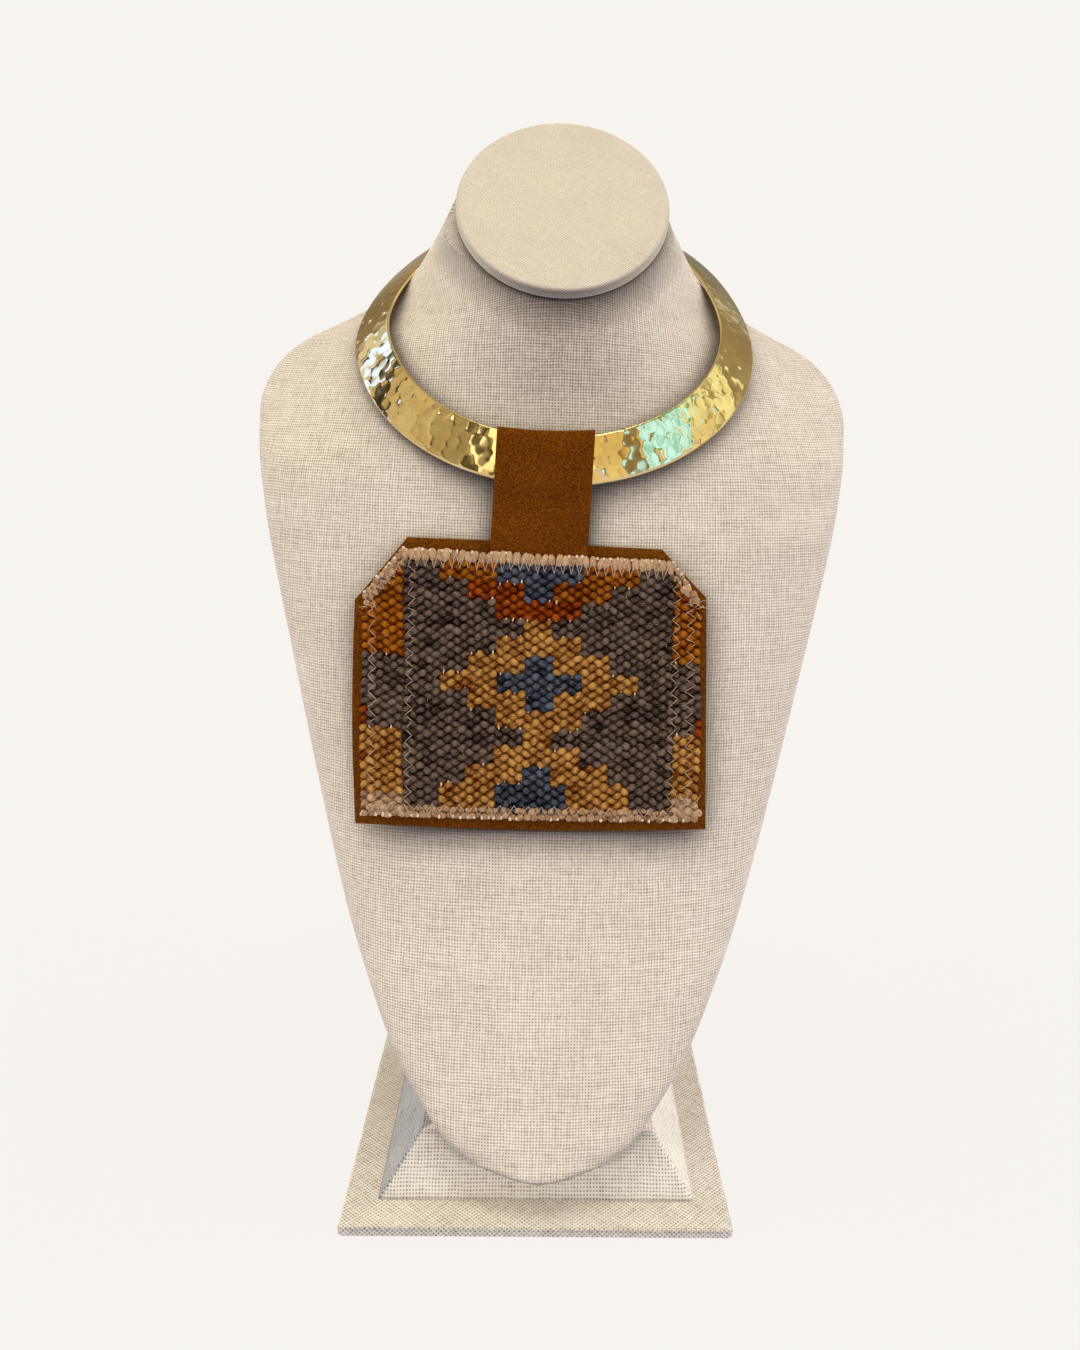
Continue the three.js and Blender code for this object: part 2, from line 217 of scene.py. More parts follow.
@dataclass
class Shell:
    """Points, faces and cloth coordinates of one mesh as it is put together, in millimetres."""

    points: list[Array] = field(default_factory=list)
    faces: list[tuple[int, ...]] = field(default_factory=list)
    corner_uvs: list[Array] = field(default_factory=list)
    slots: list[int] = field(default_factory=list)
    values: list[Array] = field(default_factory=list)
    count: int = 0

    def add(
        self,
        points: Array,
        faces: Sequence[tuple[int, ...]],
        uvs: Array | None = None,
        slot: int = 0,
        value: float = 0.0,
    ) -> None:
        """Add a patch of points and faces.

        Args:
            points: the patch's points.
            faces: its faces, counted from its own first point.
            uvs: a cloth coordinate per point.
            slot: the material slot of its faces.
            value: a number that all its points carry, which the finishes read.
        """
        uvs = np.zeros((len(points), 2)) if uvs is None else uvs
        self.faces += [tuple(self.count + i for i in face) for face in faces]
        self.corner_uvs.append(uvs[[i for face in faces for i in face]])
        self.slots += [slot] * len(faces)
        self.points.append(points)
        self.values.append(np.full(len(points), value))
        self.count += len(points)

    def loft(self, rings: Array, uvs: Array | None = None) -> None:
        """Add a skin over rings of equally many points, with a flat fan in the first and last ring.

        Args:
            rings: the rings, as rows by columns by three.
            uvs: cloth coordinates, as rows by columns plus one by two, so that the seam can part.
        """
        rows, columns, _ = rings.shape
        uvs = np.zeros((rows, columns + 1, 2)) if uvs is None else uvs
        r, c = np.mgrid[: rows - 1, :columns]
        corners = ((r, c), (r, c + 1), (r + 1, c + 1), (r + 1, c))
        faces = [self.count + row * columns + column % columns for row, column in corners]
        self.faces += np.stack(faces, axis=-1).reshape(-1, 4).tolist()
        self.corner_uvs.append(np.stack([uvs[row, column] for row, column in corners], axis=2).reshape(-1, 2))
        self.points.append(rings.reshape(-1, 3))
        self.values.append(np.zeros(rows * columns))
        first, hub = self.count, self.count + rows * columns
        for row in (0, rows - 1):
            here = np.arange(columns)
            pairs = np.stack([here, (here + 1) % columns], axis=1)[:, :: 1 if row else -1]
            self.faces += [(hub, *pair) for pair in (first + row * columns + pairs).tolist()]
            middle = np.broadcast_to(uvs[row].mean(0), (columns, 1, 2))
            self.corner_uvs.append(np.concatenate([middle, uvs[row][pairs]], axis=1).reshape(-1, 2))
            self.points.append(rings[row].mean(0)[None])
            self.values.append(np.zeros(1))
            hub += 1
        self.count = hub
        self.slots += [0] * (len(self.faces) - len(self.slots))

    def build(self, name: str, finishes: Sequence[Material], smooth: bool = True) -> Piece:
        """Make the Blender object.

        Args:
            name: the piece's name.
            finishes: its materials, by slot.
            smooth: whether faces shade into each other.

        Returns:
            The new object, linked to the scene.
        """
        mesh = bpy.data.meshes.new(name)
        mesh.from_pydata((np.vstack(self.points) * MM).tolist(), [], self.faces)
        layer = mesh.uv_layers.new(name="cloth")
        layer.data.foreach_set("uv", np.concatenate(self.corner_uvs).astype(np.float32).ravel())
        shade = mesh.attributes.new("shade", "FLOAT", "POINT")
        shade.data.foreach_set("value", np.concatenate(self.values).astype(np.float32))
        for finish in finishes:
            mesh.materials.append(finish)
        mesh.polygons.foreach_set("material_index", self.slots)
        mesh.polygons.foreach_set("use_smooth", [smooth] * len(self.faces))
        mesh.update()
        piece = bpy.data.objects.new(name, mesh)
        bpy.context.scene.collection.objects.link(piece)
        return piece


def seat(piece: Piece, slot: str, *nodes: str) -> Piece:
    """Tie a piece to the frame and report it.

    Args:
        piece: the finished piece.
        slot: not used.
        nodes: the plain solids that it stands for.

    Returns:
        The same piece.
    """
    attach(piece, ROOT)
    if nodes:
        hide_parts(*nodes)
    log.info("%s: %d faces", piece.name, len(piece.data.polygons))
    return piece


# ---- Finishes ----


@dataclass(frozen=True)
class Linen:
    """Natural linen, plain woven from unbleached flax: pale slubby threads with dark pinholes between."""

    name: str
    warp_mm: float = 0.92  # spacing of the upright threads, coarser than the real 0.7 so that they show
    weft_mm: float = 0.96  # spacing of the level threads
    thread: str = "#FFF4E8"
    shaded_thread: str = "#E2D4C2"
    gap: str = "#766452"
    shade_tint: str = "#E9E6E9"  # painted shade: the tint of cloth that is darkened as if in shade
    turn: float = 0.0  # radians that the cloth is turned on its piece
    openness: float = 0.0  # more shows wider pinholes
    wander_mm: float = 0.42  # how far threads stray from straight
    wander_per_mm: float = 0.09  # and how often
    slub: float = 0.24  # how uneven the threads are
    mottle: tuple[float, float] = (0.95, 1.04)  # tone of its darker and paler patches
    mottle_per_mm: float = 0.05  # and how often they come
    contact_mm: float = 12.0  # how near something above must be to leave the cloth darker
    contact_depth: float = 2.5  # how dark that shade gets
    lit_from: tuple[float, ...] = (0.0, -0.5, 0.87)  # above and in front
    # Upright and level threads: how steeply the round back falls away, and how high its middle stands.
    fall: tuple[float, ...] = (-2.35, -3.15, 0.0)
    crest: tuple[float, ...] = (0.73, 0.845, 0.0)
    sink: float = 0.155  # how much lower the level threads lie
    cling: float = 0.22  # how much they follow the backs of the upright ones
    crossing: float = 0.16  # how far a thread rises and dips from one crossing to the next
    shade_opening: float = -0.11  # how far the pinholes open under the painted shade, which darkens the weave there
    # Slubs run along the upright threads, along the level ones, and over a few of both.
    slubs: tuple[tuple[float, ...], ...] = ((1.0, 0.09, 1.0), (0.07, 1.0, 1.0), (0.7, 0.6, 1.0))

    def make(self) -> Material:
        """Build the material.

        Returns:
            The linen material.
        """
        constants = {
            "Roughness": 0.92,  # dry fibre has no gloss
            "Specular IOR Level": 0.2,
            "Sheen Weight": 0.1,  # the fine fuzz of flax catches grazing light
            "Sheen Roughness": 0.6,
        }
        material, tree, shader = start_material(self.name, constants)
        flat = {"noise_dimensions": "2D"}
        cloth = add_node(tree, "UVMap", {"uv_map": "cloth"})
        about_z = {"rotation_type": "Z_AXIS"}
        turned = add_node(tree, "VectorRotate", about_z, {"Vector": cloth, "Angle": self.turn})
        stray = add_node(tree, "TexNoise", flat, {"Vector": turned, "Scale": self.wander_per_mm, "Detail": 3.0})
        reach = (2 * self.wander_mm,) * 3, (-self.wander_mm,) * 3
        stray = add_node(tree, "VectorMath", "MULTIPLY_ADD", (stray.outputs["Color"], *reach))
        laid = add_node(tree, "VectorMath", "ADD", (turned, stray))
        cells = add_node(tree, "VectorMath", "DIVIDE", (laid, (self.warp_mm, self.weft_mm, 1.0)))

        # Each thread's round back: highest along its middle, lowest in the gap beside it.
        part = add_node(tree, "VectorMath", "FRACTION", (cells,))
        aside = add_node(tree, "VectorMath", "SUBTRACT", (part, (0.5, 0.5, 0.5)))
        square = add_node(tree, "VectorMath", "MULTIPLY", (aside, aside))
        backs = add_node(tree, "VectorMath", "MULTIPLY_ADD", (square, self.fall, self.crest))
        back = add_node(tree, "SeparateXYZ", None, (backs,)).outputs
        # A level thread sinks a little between two upright ones.
        level = add_node(tree, "Math", "SUBTRACT", (back[1], self.sink))
        level = add_node(tree, "Math", "MULTIPLY_ADD", (back[0], self.cling, level))

        # Over and under: the sign changes from one crossing to the next.
        angle = add_node(tree, "VectorMath", "MULTIPLY", (cells, (math.pi,) * 3))
        wave = add_node(tree, "SeparateXYZ", None, (add_node(tree, "VectorMath", "SINE", (angle,)),)).outputs
        over = add_node(tree, "Math", "MULTIPLY", (wave[0], wave[1]))
        rise = add_node(tree, "Math", "MULTIPLY", (over, self.crossing))
        upright = add_node(tree, "Math", "ADD", (back[0], rise))
        level = add_node(tree, "Math", "SUBTRACT", (level, rise))
        top = add_node(tree, "Math", "MAXIMUM", (upright, level))

        # Hand-spun flax runs thick and thin along each thread, so no two pinholes are alike.
        # Painted shade: the shade attribute darkens and tints the cloth where it is marked, over the throat and
        # on the riser's side on the wearer's right; low on the chest it is negative and paints light instead.
        painted_shade = add_node(tree, "Attribute", {"attribute_name": "shade"}).outputs["Fac"]
        top = add_node(tree, "Math", "SUBTRACT", (top, len(self.slubs) / 2 * self.slub + self.openness))
        height = add_node(tree, "Math", "MULTIPLY_ADD", (painted_shade, self.shade_opening, top))
        for stretch in self.slubs:
            along = add_node(tree, "VectorMath", "MULTIPLY", (cells, stretch))
            slub = add_node(tree, "TexNoise", flat, {"Vector": along, "Scale": 1.0, "Detail": 1.0})
            height = add_node(tree, "Math", "MULTIPLY_ADD", (slub, self.slub, height))

        ramp = add_node(tree, "ValToRGB", None, (height,))
        set_ramp(ramp, [(0.22, self.gap), (0.66, self.shaded_thread), (1.0, self.thread)])
        mottle = add_node(tree, "TexNoise", flat, {"Vector": cloth, "Scale": self.mottle_per_mm, "Detail": 3.0})
        tone = add_node(tree, "MapRange", None, (mottle, 0.2, 0.8, *self.mottle))
        shade_tint_step = tuple(c - 1 for c in linear(self.shade_tint)[:3])
        tint = add_node(tree, "VectorMath", "MULTIPLY_ADD", (painted_shade, shade_tint_step, (1.0, 1.0, 1.0)))
        colour = add_node(tree, "VectorMath", "MULTIPLY", (ramp, tint))
        # Whatever rests on the cloth keeps the light off it, most where the cloth faces the front.
        lit_from = add_node(tree, "VectorMath", "NORMALIZE", (self.lit_from,))
        near = add_node(
            tree, "AmbientOcclusion", {"samples": 8}, {"Distance": self.contact_mm * MM, "Normal": lit_from}
        ).outputs["AO"]
        faces = add_node(tree, "NewGeometry").outputs["Normal"]
        facing = add_node(tree, "VectorMath", "DOT_PRODUCT", (faces, (0.0, -1.0, 0.0))).outputs["Value"]
        facing = add_node(tree, "Math", "MAXIMUM", (facing, 0.0))
        open_sky = add_node(tree, "Math", "POWER", (near, self.contact_depth))
        cover = add_node(tree, "Math", "SUBTRACT", (1.0, open_sky))
        lost = add_node(tree, "Math", "MULTIPLY", (cover, facing))
        kept = add_node(tree, "Math", "SUBTRACT", (1.0, lost))
        tone = add_node(tree, "Math", "MULTIPLY", (tone, kept))
        colour = add_node(tree, "VectorMath", "SCALE", {0: colour, "Scale": tone})
        bump = add_node(tree, "Bump", None, {"Strength": 0.4, "Distance": 0.1 * MM, "Height": height})
        connect(tree, shader, {"Base Color": colour, "Normal": bump})
        return material


@dataclass(frozen=True)
class Brass:
    """Polished yellow brass, planished with a round hammer: warm mirror facets, dulled a little by age."""

    name: str = "planished_brass"
    metal: str = "#F3DA9C"
    tarnish: str = "#DDB36C"
    tarnish_per_m: float = 45.0  # how often age has left a darker patch
    rub_per_m: float = 260.0  # how often wear has left a duller mark
    polished: float = 0.06  # roughness where it is brightest
    wear_and_painted_light: float = 0.18  # and where it is dullest

    def make(self) -> Material:
        """Build the material.

        Returns:
            The brass material.
        """
        material, tree, shader = start_material(self.name, {"Metallic": 1.0})
        place = add_node(tree, "TexCoord").outputs["Object"]
        age = add_node(tree, "TexNoise", None, {"Vector": place, "Scale": self.tarnish_per_m, "Detail": 6.0})
        ramp = add_node(tree, "ValToRGB", None, (age,))
        set_ramp(ramp, [(0.35, self.metal), (0.75, self.tarnish)])
        rub = add_node(tree, "TexNoise", None, {"Vector": place, "Scale": self.rub_per_m, "Detail": 4.0})
        dull = add_node(tree, "MapRange", None, {0: rub, 3: self.polished, 4: self.wear_and_painted_light})
        bump = add_node(tree, "Bump", None, {"Strength": 0.12, "Distance": 0.05 * MM, "Height": rub})
        connect(tree, shader, {"Base Color": ramp, "Roughness": dull, "Normal": bump})
        return material


@dataclass(frozen=True)
class Suede:
    """Brown suede, split and buffed: a matt nap, speckled where its fibres lean to or from the light."""

    name: str
    light: str = "#864A10"
    deep: str = "#4C2000"
    tips: str = "#C8823A"
    nap_mm: float = 0.55  # size of its tufts, coarser than real so that they show
    brushed_per_m: float = 70.0  # how often a hand has brushed it another way
    brushed: float = 0.18  # how plainly that shows

    def make(self) -> Material:
        """Build the material.

        Returns:
            The suede material.
        """
        constants = {
            "Roughness": 1.0,
            "Specular IOR Level": 0.03,
            "Sheen Weight": 0.25,  # light caught in the tips of the nap
            "Sheen Roughness": 0.5,
            "Sheen Tint": linear(self.tips),
        }
        material, tree, shader = start_material(self.name, constants)
        place = add_node(tree, "TexCoord").outputs["Object"]
        tufts_per_m = 1 / (self.nap_mm * MM)
        nap = add_node(tree, "TexNoise", None, {"Vector": place, "Scale": tufts_per_m, "Detail": 3.0})
        hand = add_node(tree, "TexNoise", None, {"Vector": place, "Scale": self.brushed_per_m, "Detail": 2.0})
        mixed = add_node(tree, "Math", "MULTIPLY_ADD", (hand, self.brushed, nap))
        ramp = add_node(tree, "ValToRGB", None, (mixed,))
        set_ramp(ramp, [(0.42, self.deep), (0.81, self.light)])
        bump = add_node(tree, "Bump", None, {"Strength": 0.5, "Distance": 0.2 * MM, "Height": nap})
        connect(tree, shader, {"Base Color": ramp, "Normal": bump})
        return material


@dataclass(frozen=True)
class Wool:
    """Hand-spun wool yarn, dyed in small lots: soft matt strands whose shade shifts from loop to loop."""

    name: str
    light: str
    deep: str
    strand_mm: float = 0.32  # coarser than real fibre, so that its twist shows
    strand_long: float = 4.0  # how much longer than wide its light and dark stretches are
    fibre: float = 0.9  # how plainly the strands show

    def make(self) -> Material:
        """Build the material.

        Returns:
            The yarn material.
        """
        constants = {
            "Roughness": 0.95,
            "Specular IOR Level": 0.04,
            "Sheen Weight": 0.07,  # stray fibres round every strand
            "Sheen Roughness": 0.6,
            "Sheen Tint": linear(self.light),
        }
        material, tree, shader = start_material(self.name, constants)
        strands = add_node(tree, "UVMap", {"uv_map": "cloth"})
        stretch = (1 / self.strand_long / self.strand_mm, 1 / self.strand_mm, 1.0)
        drawn = add_node(tree, "VectorMath", "MULTIPLY", (strands, stretch))
        flat = {"noise_dimensions": "2D"}
        fibre = add_node(tree, "TexNoise", flat, {"Vector": drawn, "Scale": 1.0, "Detail": 2.0})
        # The shade attribute carries each loop's dye, with painted light and shade on the woven loops: paler
        # crowns and tops, darker dips and sides.
        dye = add_node(tree, "Attribute", {"attribute_name": "shade"}).outputs["Fac"]
        mixed = add_node(tree, "Math", "MULTIPLY_ADD", (fibre, self.fibre, dye))
        ramp = add_node(tree, "ValToRGB", None, (mixed,))
        set_ramp(ramp, [(0.22, self.deep), (0.76, self.light)])
        bump = add_node(tree, "Bump", None, {"Strength": 0.7, "Distance": 0.25 * MM, "Height": fibre})
        connect(tree, shader, {"Base Color": ramp, "Normal": bump})
        return material


class Yarn(Enum):
    """The yarns of the kilim: light and deep ends of each dye lot."""

    GOLD = ("gold_wool", "#CE984E", "#5A2200")
    ORANGE = ("orange_wool", "#B26A1C", "#541800")
    RUST = ("rust_wool", "#A44A12", "#440800")
    GREY = ("walnut_grey_wool", "#7E6A5C", "#1A0D05")
    BLUE = ("indigo_wool", "#626672", "#090D17")
    BEIGE = ("undyed_wool", "#DCB48C", "#785A3E")
    CREAM = ("cream_cotton", "#F0D9C2", "#CBAA8A")
    # Painted shade: the ground's wool is dark, so that the gaps between the loops read as yarn in shade.
    SHADED_GROUND = ("ground_wool_in_painted_shade", "#3A2412", "#1E0F05")

    def finish(self) -> Wool:
        """The wool finish of this yarn."""
        return Wool(*self.value)

    @property
    def slot(self) -> int:
        """The yarn's material slot on every woven piece."""
        return list(Yarn).index(self)


# ---- Bust ----


@dataclass
class NeckCap:
    """The oval lid on the slanted neck, its linen pulled over a soft edge."""

    x: float = 1.6
    y: float = 53.6
    z: float = 315.2
    half_width: float = 36.6
    half_length: float = 46.8
    slant: float = 44.0
    thickness: float = 4.0
    edge: float = 1.4
    crown: float = 0.5
    rings: tuple[float, ...] = (0.12, 0.3, 0.55, 0.8, 0.96)  # the top's rings, by share of the way in
    columns: int = 144

    def build(self, finish: Material) -> None:
        """Make the cap.

        Args:
            finish: the linen it is covered with.
        """
        half = self.thickness / 2
        quarter = [math.pi / 2 * s / 6 for s in range(7)]
        # Inset from the rim, and height.
        outline = [(self.edge * (1 - math.sin(t)), -half + self.edge * (1 - math.cos(t))) for t in quarter]
        outline += [(self.edge * (1 - math.cos(t)), half - self.edge * (1 - math.sin(t))) for t in quarter]
        outline += [(self.edge + (self.half_width - self.edge) * s, half) for s in self.rings]
        angle = turns(self.columns)
        flat = np.zeros((len(outline), self.columns, 3))
        for ring, (inset, height) in zip(flat, outline):
            share = (self.half_width - inset) / self.half_width
            on_top = height == half
            # On top the rings keep the oval's shape, round the edge they keep their distance from it.
            length = self.half_length * share if on_top else self.half_length - inset
            ring[:, 0] = (self.half_width - inset) * np.cos(angle)
            ring[:, 1] = length * np.sin(angle)
            ring[:, 2] = height + (self.crown * (1 - share**2) if on_top else 0)
        closed = np.concatenate([flat, flat[:, :1]], axis=1)
        drop = np.minimum(closed[..., 2] - half, 0)[..., None]
        outwards = closed[..., :2] / np.linalg.norm(closed[..., :2], axis=2, keepdims=True)
        shell = Shell()
        x, y, z = np.moveaxis(flat, -1, 0)
        y, z = spin(y, z, math.radians(self.slant))
        shell.loft(np.stack([x + self.x, y + self.y, z + self.z], axis=2), closed[..., :2] - outwards * drop)
        seat(shell.build("linen_neck_cap", [finish]), "linen", "neck_cap")


@dataclass
class NeckBust:
    """The neck form: level sections from its tip up to the neck, cut off on a slant under the cap."""

    cap: NeckCap
    middle: float = 0.4
    nose: float = 2.2  # how broad a section is round its middle
    columns: int = 176
    steps: int = 7  # fine rows between two sections
    cut_below: float = 2.3  # from the cap's middle down to the cut
    even_rows_to: float = 232.0  # below this height every thread lies level
    even_fade: float = 25.0  # and above it the threads ease into following the form
    # Painted shade over the throat, which darkens the cloth there: between which heights it sets in,
    # between which Y it fades towards the back, and how far to each side it reaches.
    throat_shade_z: tuple[float, float] = (232.0, 258.0)
    throat_shade_y: tuple[float, float] = (20.0, 50.0)
    throat_shade_x: float = 26.0
    slack: float = 0.2  # painted light: how much the cloth low on the chest is lightened and its pinholes closed
    chest_light_z: tuple[float, float] = (60.0, 130.0)

    # z height; half half width; front and back the ends in Y on the middle plane; side the Y of the
    # widest point; blunt its roundness; front_pinch and back_pinch its thinness towards the shoulders
    keys = ("z", "half", "front", "side", "back", "blunt", "front_pinch", "back_pinch")
    sections = (
        (15.2, 2.5, -58.4, -56.5, -54.0, 0.50, 0.00, 0.00),
        (16.8, 10.5, -59.5, -55.6, -49.0, 0.50, 0.00, 0.00),
        (20.3, 21.0, -58.6, -53.8, -41.5, 0.45, 0.00, 0.00),
        (20.3, 21.0, -58.6, -53.8, 35.0, 0.45, 0.00, 0.00),
        (26.0, 29.4, -56.9, -50.4, 37.0, 0.43, 0.00, 0.00),
        (34.0, 36.2, -54.2, -45.7, 40.0, 0.42, 0.00, 0.00),
        (48.0, 46.1, -49.6, -37.1, 44.5, 0.42, 0.00, 0.00),
        (67.0, 55.6, -43.4, -25.9, 50.5, 0.42, 0.00, 0.00),
        (89.0, 64.7, -36.3, -13.1, 57.0, 0.42, 0.00, 0.00),
        (125.0, 75.5, -24.7, 2.0, 66.5, 0.42, 0.00, 0.00),
        (164.0, 86.1, -12.1, 16.9, 77.0, 0.42, 0.00, 0.00),
        (203.0, 96.8, 0.5, 33.5, 88.0, 0.42, 0.02, 0.00),
        (220.0, 101.3, 5.9, 44.0, 93.0, 0.44, 0.10, 0.05),
        (230.0, 103.7, 9.2, 51.0, 96.0, 0.46, 0.22, 0.10),
        (239.0, 105.2, 12.0, 58.0, 99.0, 0.48, 0.42, 0.18),
        (248.0, 105.9, 14.8, 64.0, 101.5, 0.50, 0.62, 0.30),
        (258.0, 102.5, 17.4, 69.0, 103.0, 0.50, 0.77, 0.45),
        (266.0, 95.5, 19.0, 71.0, 103.0, 0.50, 0.84, 0.55),
        (271.0, 87.5, 19.7, 71.0, 102.0, 0.50, 0.84, 0.60),
        (276.0, 76.6, 20.3, 70.5, 100.0, 0.50, 0.80, 0.60),
        (284.0, 61.7, 21.0, 69.0, 96.0, 0.50, 0.66, 0.50),
        (292.0, 51.6, 21.5, 66.0, 91.0, 0.50, 0.45, 0.35),
        (302.0, 43.9, 22.0, 61.0, 86.5, 0.50, 0.20, 0.15),
        (314.0, 37.0, 22.0, 56.0, 84.5, 0.50, 0.00, 0.00),
        (330.0, 35.0, 22.0, 54.5, 84.0, 0.50, 0.00, 0.00),
        (362.0, 35.0, 22.0, 54.5, 87.0, 0.50, 0.00, 0.00),
    )

    def rows(self) -> Array:
        """The section table with smooth rows between its own.

        Returns:
            One row of section values per level.
        """
        table = np.array(self.sections)
        out = []
        for i, (here, there) in enumerate(zip(table, table[1:])):
            out.append(here)
            span = there[0] - here[0]
            if span == 0:
                continue
            before = table[i - 1] if i and table[i - 1][0] != here[0] else here
            after = table[i + 2] if i + 2 < len(table) and table[i + 2][0] != there[0] else there
            start = (there - before) / (there[0] - before[0]) * span
            end = (after - here) / (after[0] - here[0]) * span
            for s in range(1, self.steps):
                t = s / self.steps
                row = (2 * t**3 - 3 * t**2 + 1) * here + (3 * t**2 - 2 * t**3) * there
                row = row + (t**3 - 2 * t**2 + t) * start + (t**3 - t**2) * end
                row[0] = here[0] + span * t
                out.append(row)
        out.append(table[-1])
        return np.array(out)

    def ring(self, row: Array) -> Array:
        """Draw one level section.

        Args:
            row: its measures, in the order of the keys.

        Returns:
            A ring of points that starts at the back.
        """
        values = dict(zip(self.keys, row))
        angle = np.pi / 2 + turns(self.columns)
        across = np.cos(angle)
        in_front = np.sin(angle) < 0
        pinch = np.where(in_front, values["front_pinch"], values["back_pinch"])
        end = np.where(in_front, values["front"], values["back"])
        swell = np.maximum(0, 1 - np.abs(across) ** self.nose) ** values["blunt"] * (1 - pinch * across**2)
        x, y = self.middle + values["half"] * across, values["side"] + (end - values["side"]) * swell
        return np.column_stack([x, y, np.full(self.columns, values["z"])])

    def cloth(self, rings: Array) -> Array:
        """Where the linen's threads run: level and upright on the front, eased over the shoulders.

        Args:
            rings: the bust's rings.

        Returns:
            Cloth coordinates in millimetres, with one more column than the rings have.
        """
        closed = np.concatenate([rings, rings[:, :1]], axis=1)
        round_it = np.linalg.norm(np.diff(closed, axis=1), axis=2)
        u = np.concatenate([np.zeros((len(rings), 1)), np.cumsum(round_it, axis=1)], axis=1)
        u -= u[:, self.columns // 2 : self.columns // 2 + 1]
        up = np.linalg.norm(np.diff(closed, axis=0), axis=2)
        middle = up[:, self.columns // 2 : self.columns // 2 + 1]
        own = smoothstep(self.even_rows_to, self.even_rows_to + self.even_fade, rings[1:, :1, 2])
        v = np.concatenate([np.zeros((1, self.columns + 1)), np.cumsum(middle + (up - middle) * own, axis=0)])
        return np.stack([u, v], axis=2)

    def build(self, finish: Material) -> None:
        """Make the bust.

        Args:
            finish: the linen it is covered with.
        """
        rings = np.stack([self.ring(row) for row in self.rows()])
        shell = Shell()
        shell.loft(rings, self.cloth(rings))
        # Painted shade darkens the cloth over the throat, and painted light lightens it low on the chest.
        x, y, z = np.moveaxis(rings, -1, 0)
        painted_shade = smoothstep(*self.throat_shade_z, z) * (1 - smoothstep(*self.throat_shade_y, y))
        painted_shade = painted_shade * np.exp(-(((x - self.cap.x) / self.throat_shade_x) ** 2))
        shell.values[0] = (painted_shade - self.slack * (1 - smoothstep(*self.chest_light_z, z))).ravel()
        piece = shell.build("linen_neck_form", [finish])
        lean = math.radians(self.cap.slant)
        normal = np.array([0, -math.sin(lean), math.cos(lean)])
        spot = np.array([self.cap.x, self.cap.y, self.cap.z]) - normal * self.cut_below
        solid = bmesh.new()
        solid.from_mesh(piece.data)
        cut = bmesh.ops.bisect_plane(
            solid,
            geom=solid.verts[:] + solid.edges[:] + solid.faces[:],
            plane_co=spot * MM,
            plane_no=normal,
            clear_outer=True,
        )
        rim = [e for e in cut["geom_cut"] if isinstance(e, bmesh.types.BMEdge)]
        bmesh.ops.holes_fill(solid, edges=rim, sides=0)
        solid.to_mesh(piece.data)
        solid.free()
        seat(piece, "linen", "neck_form")


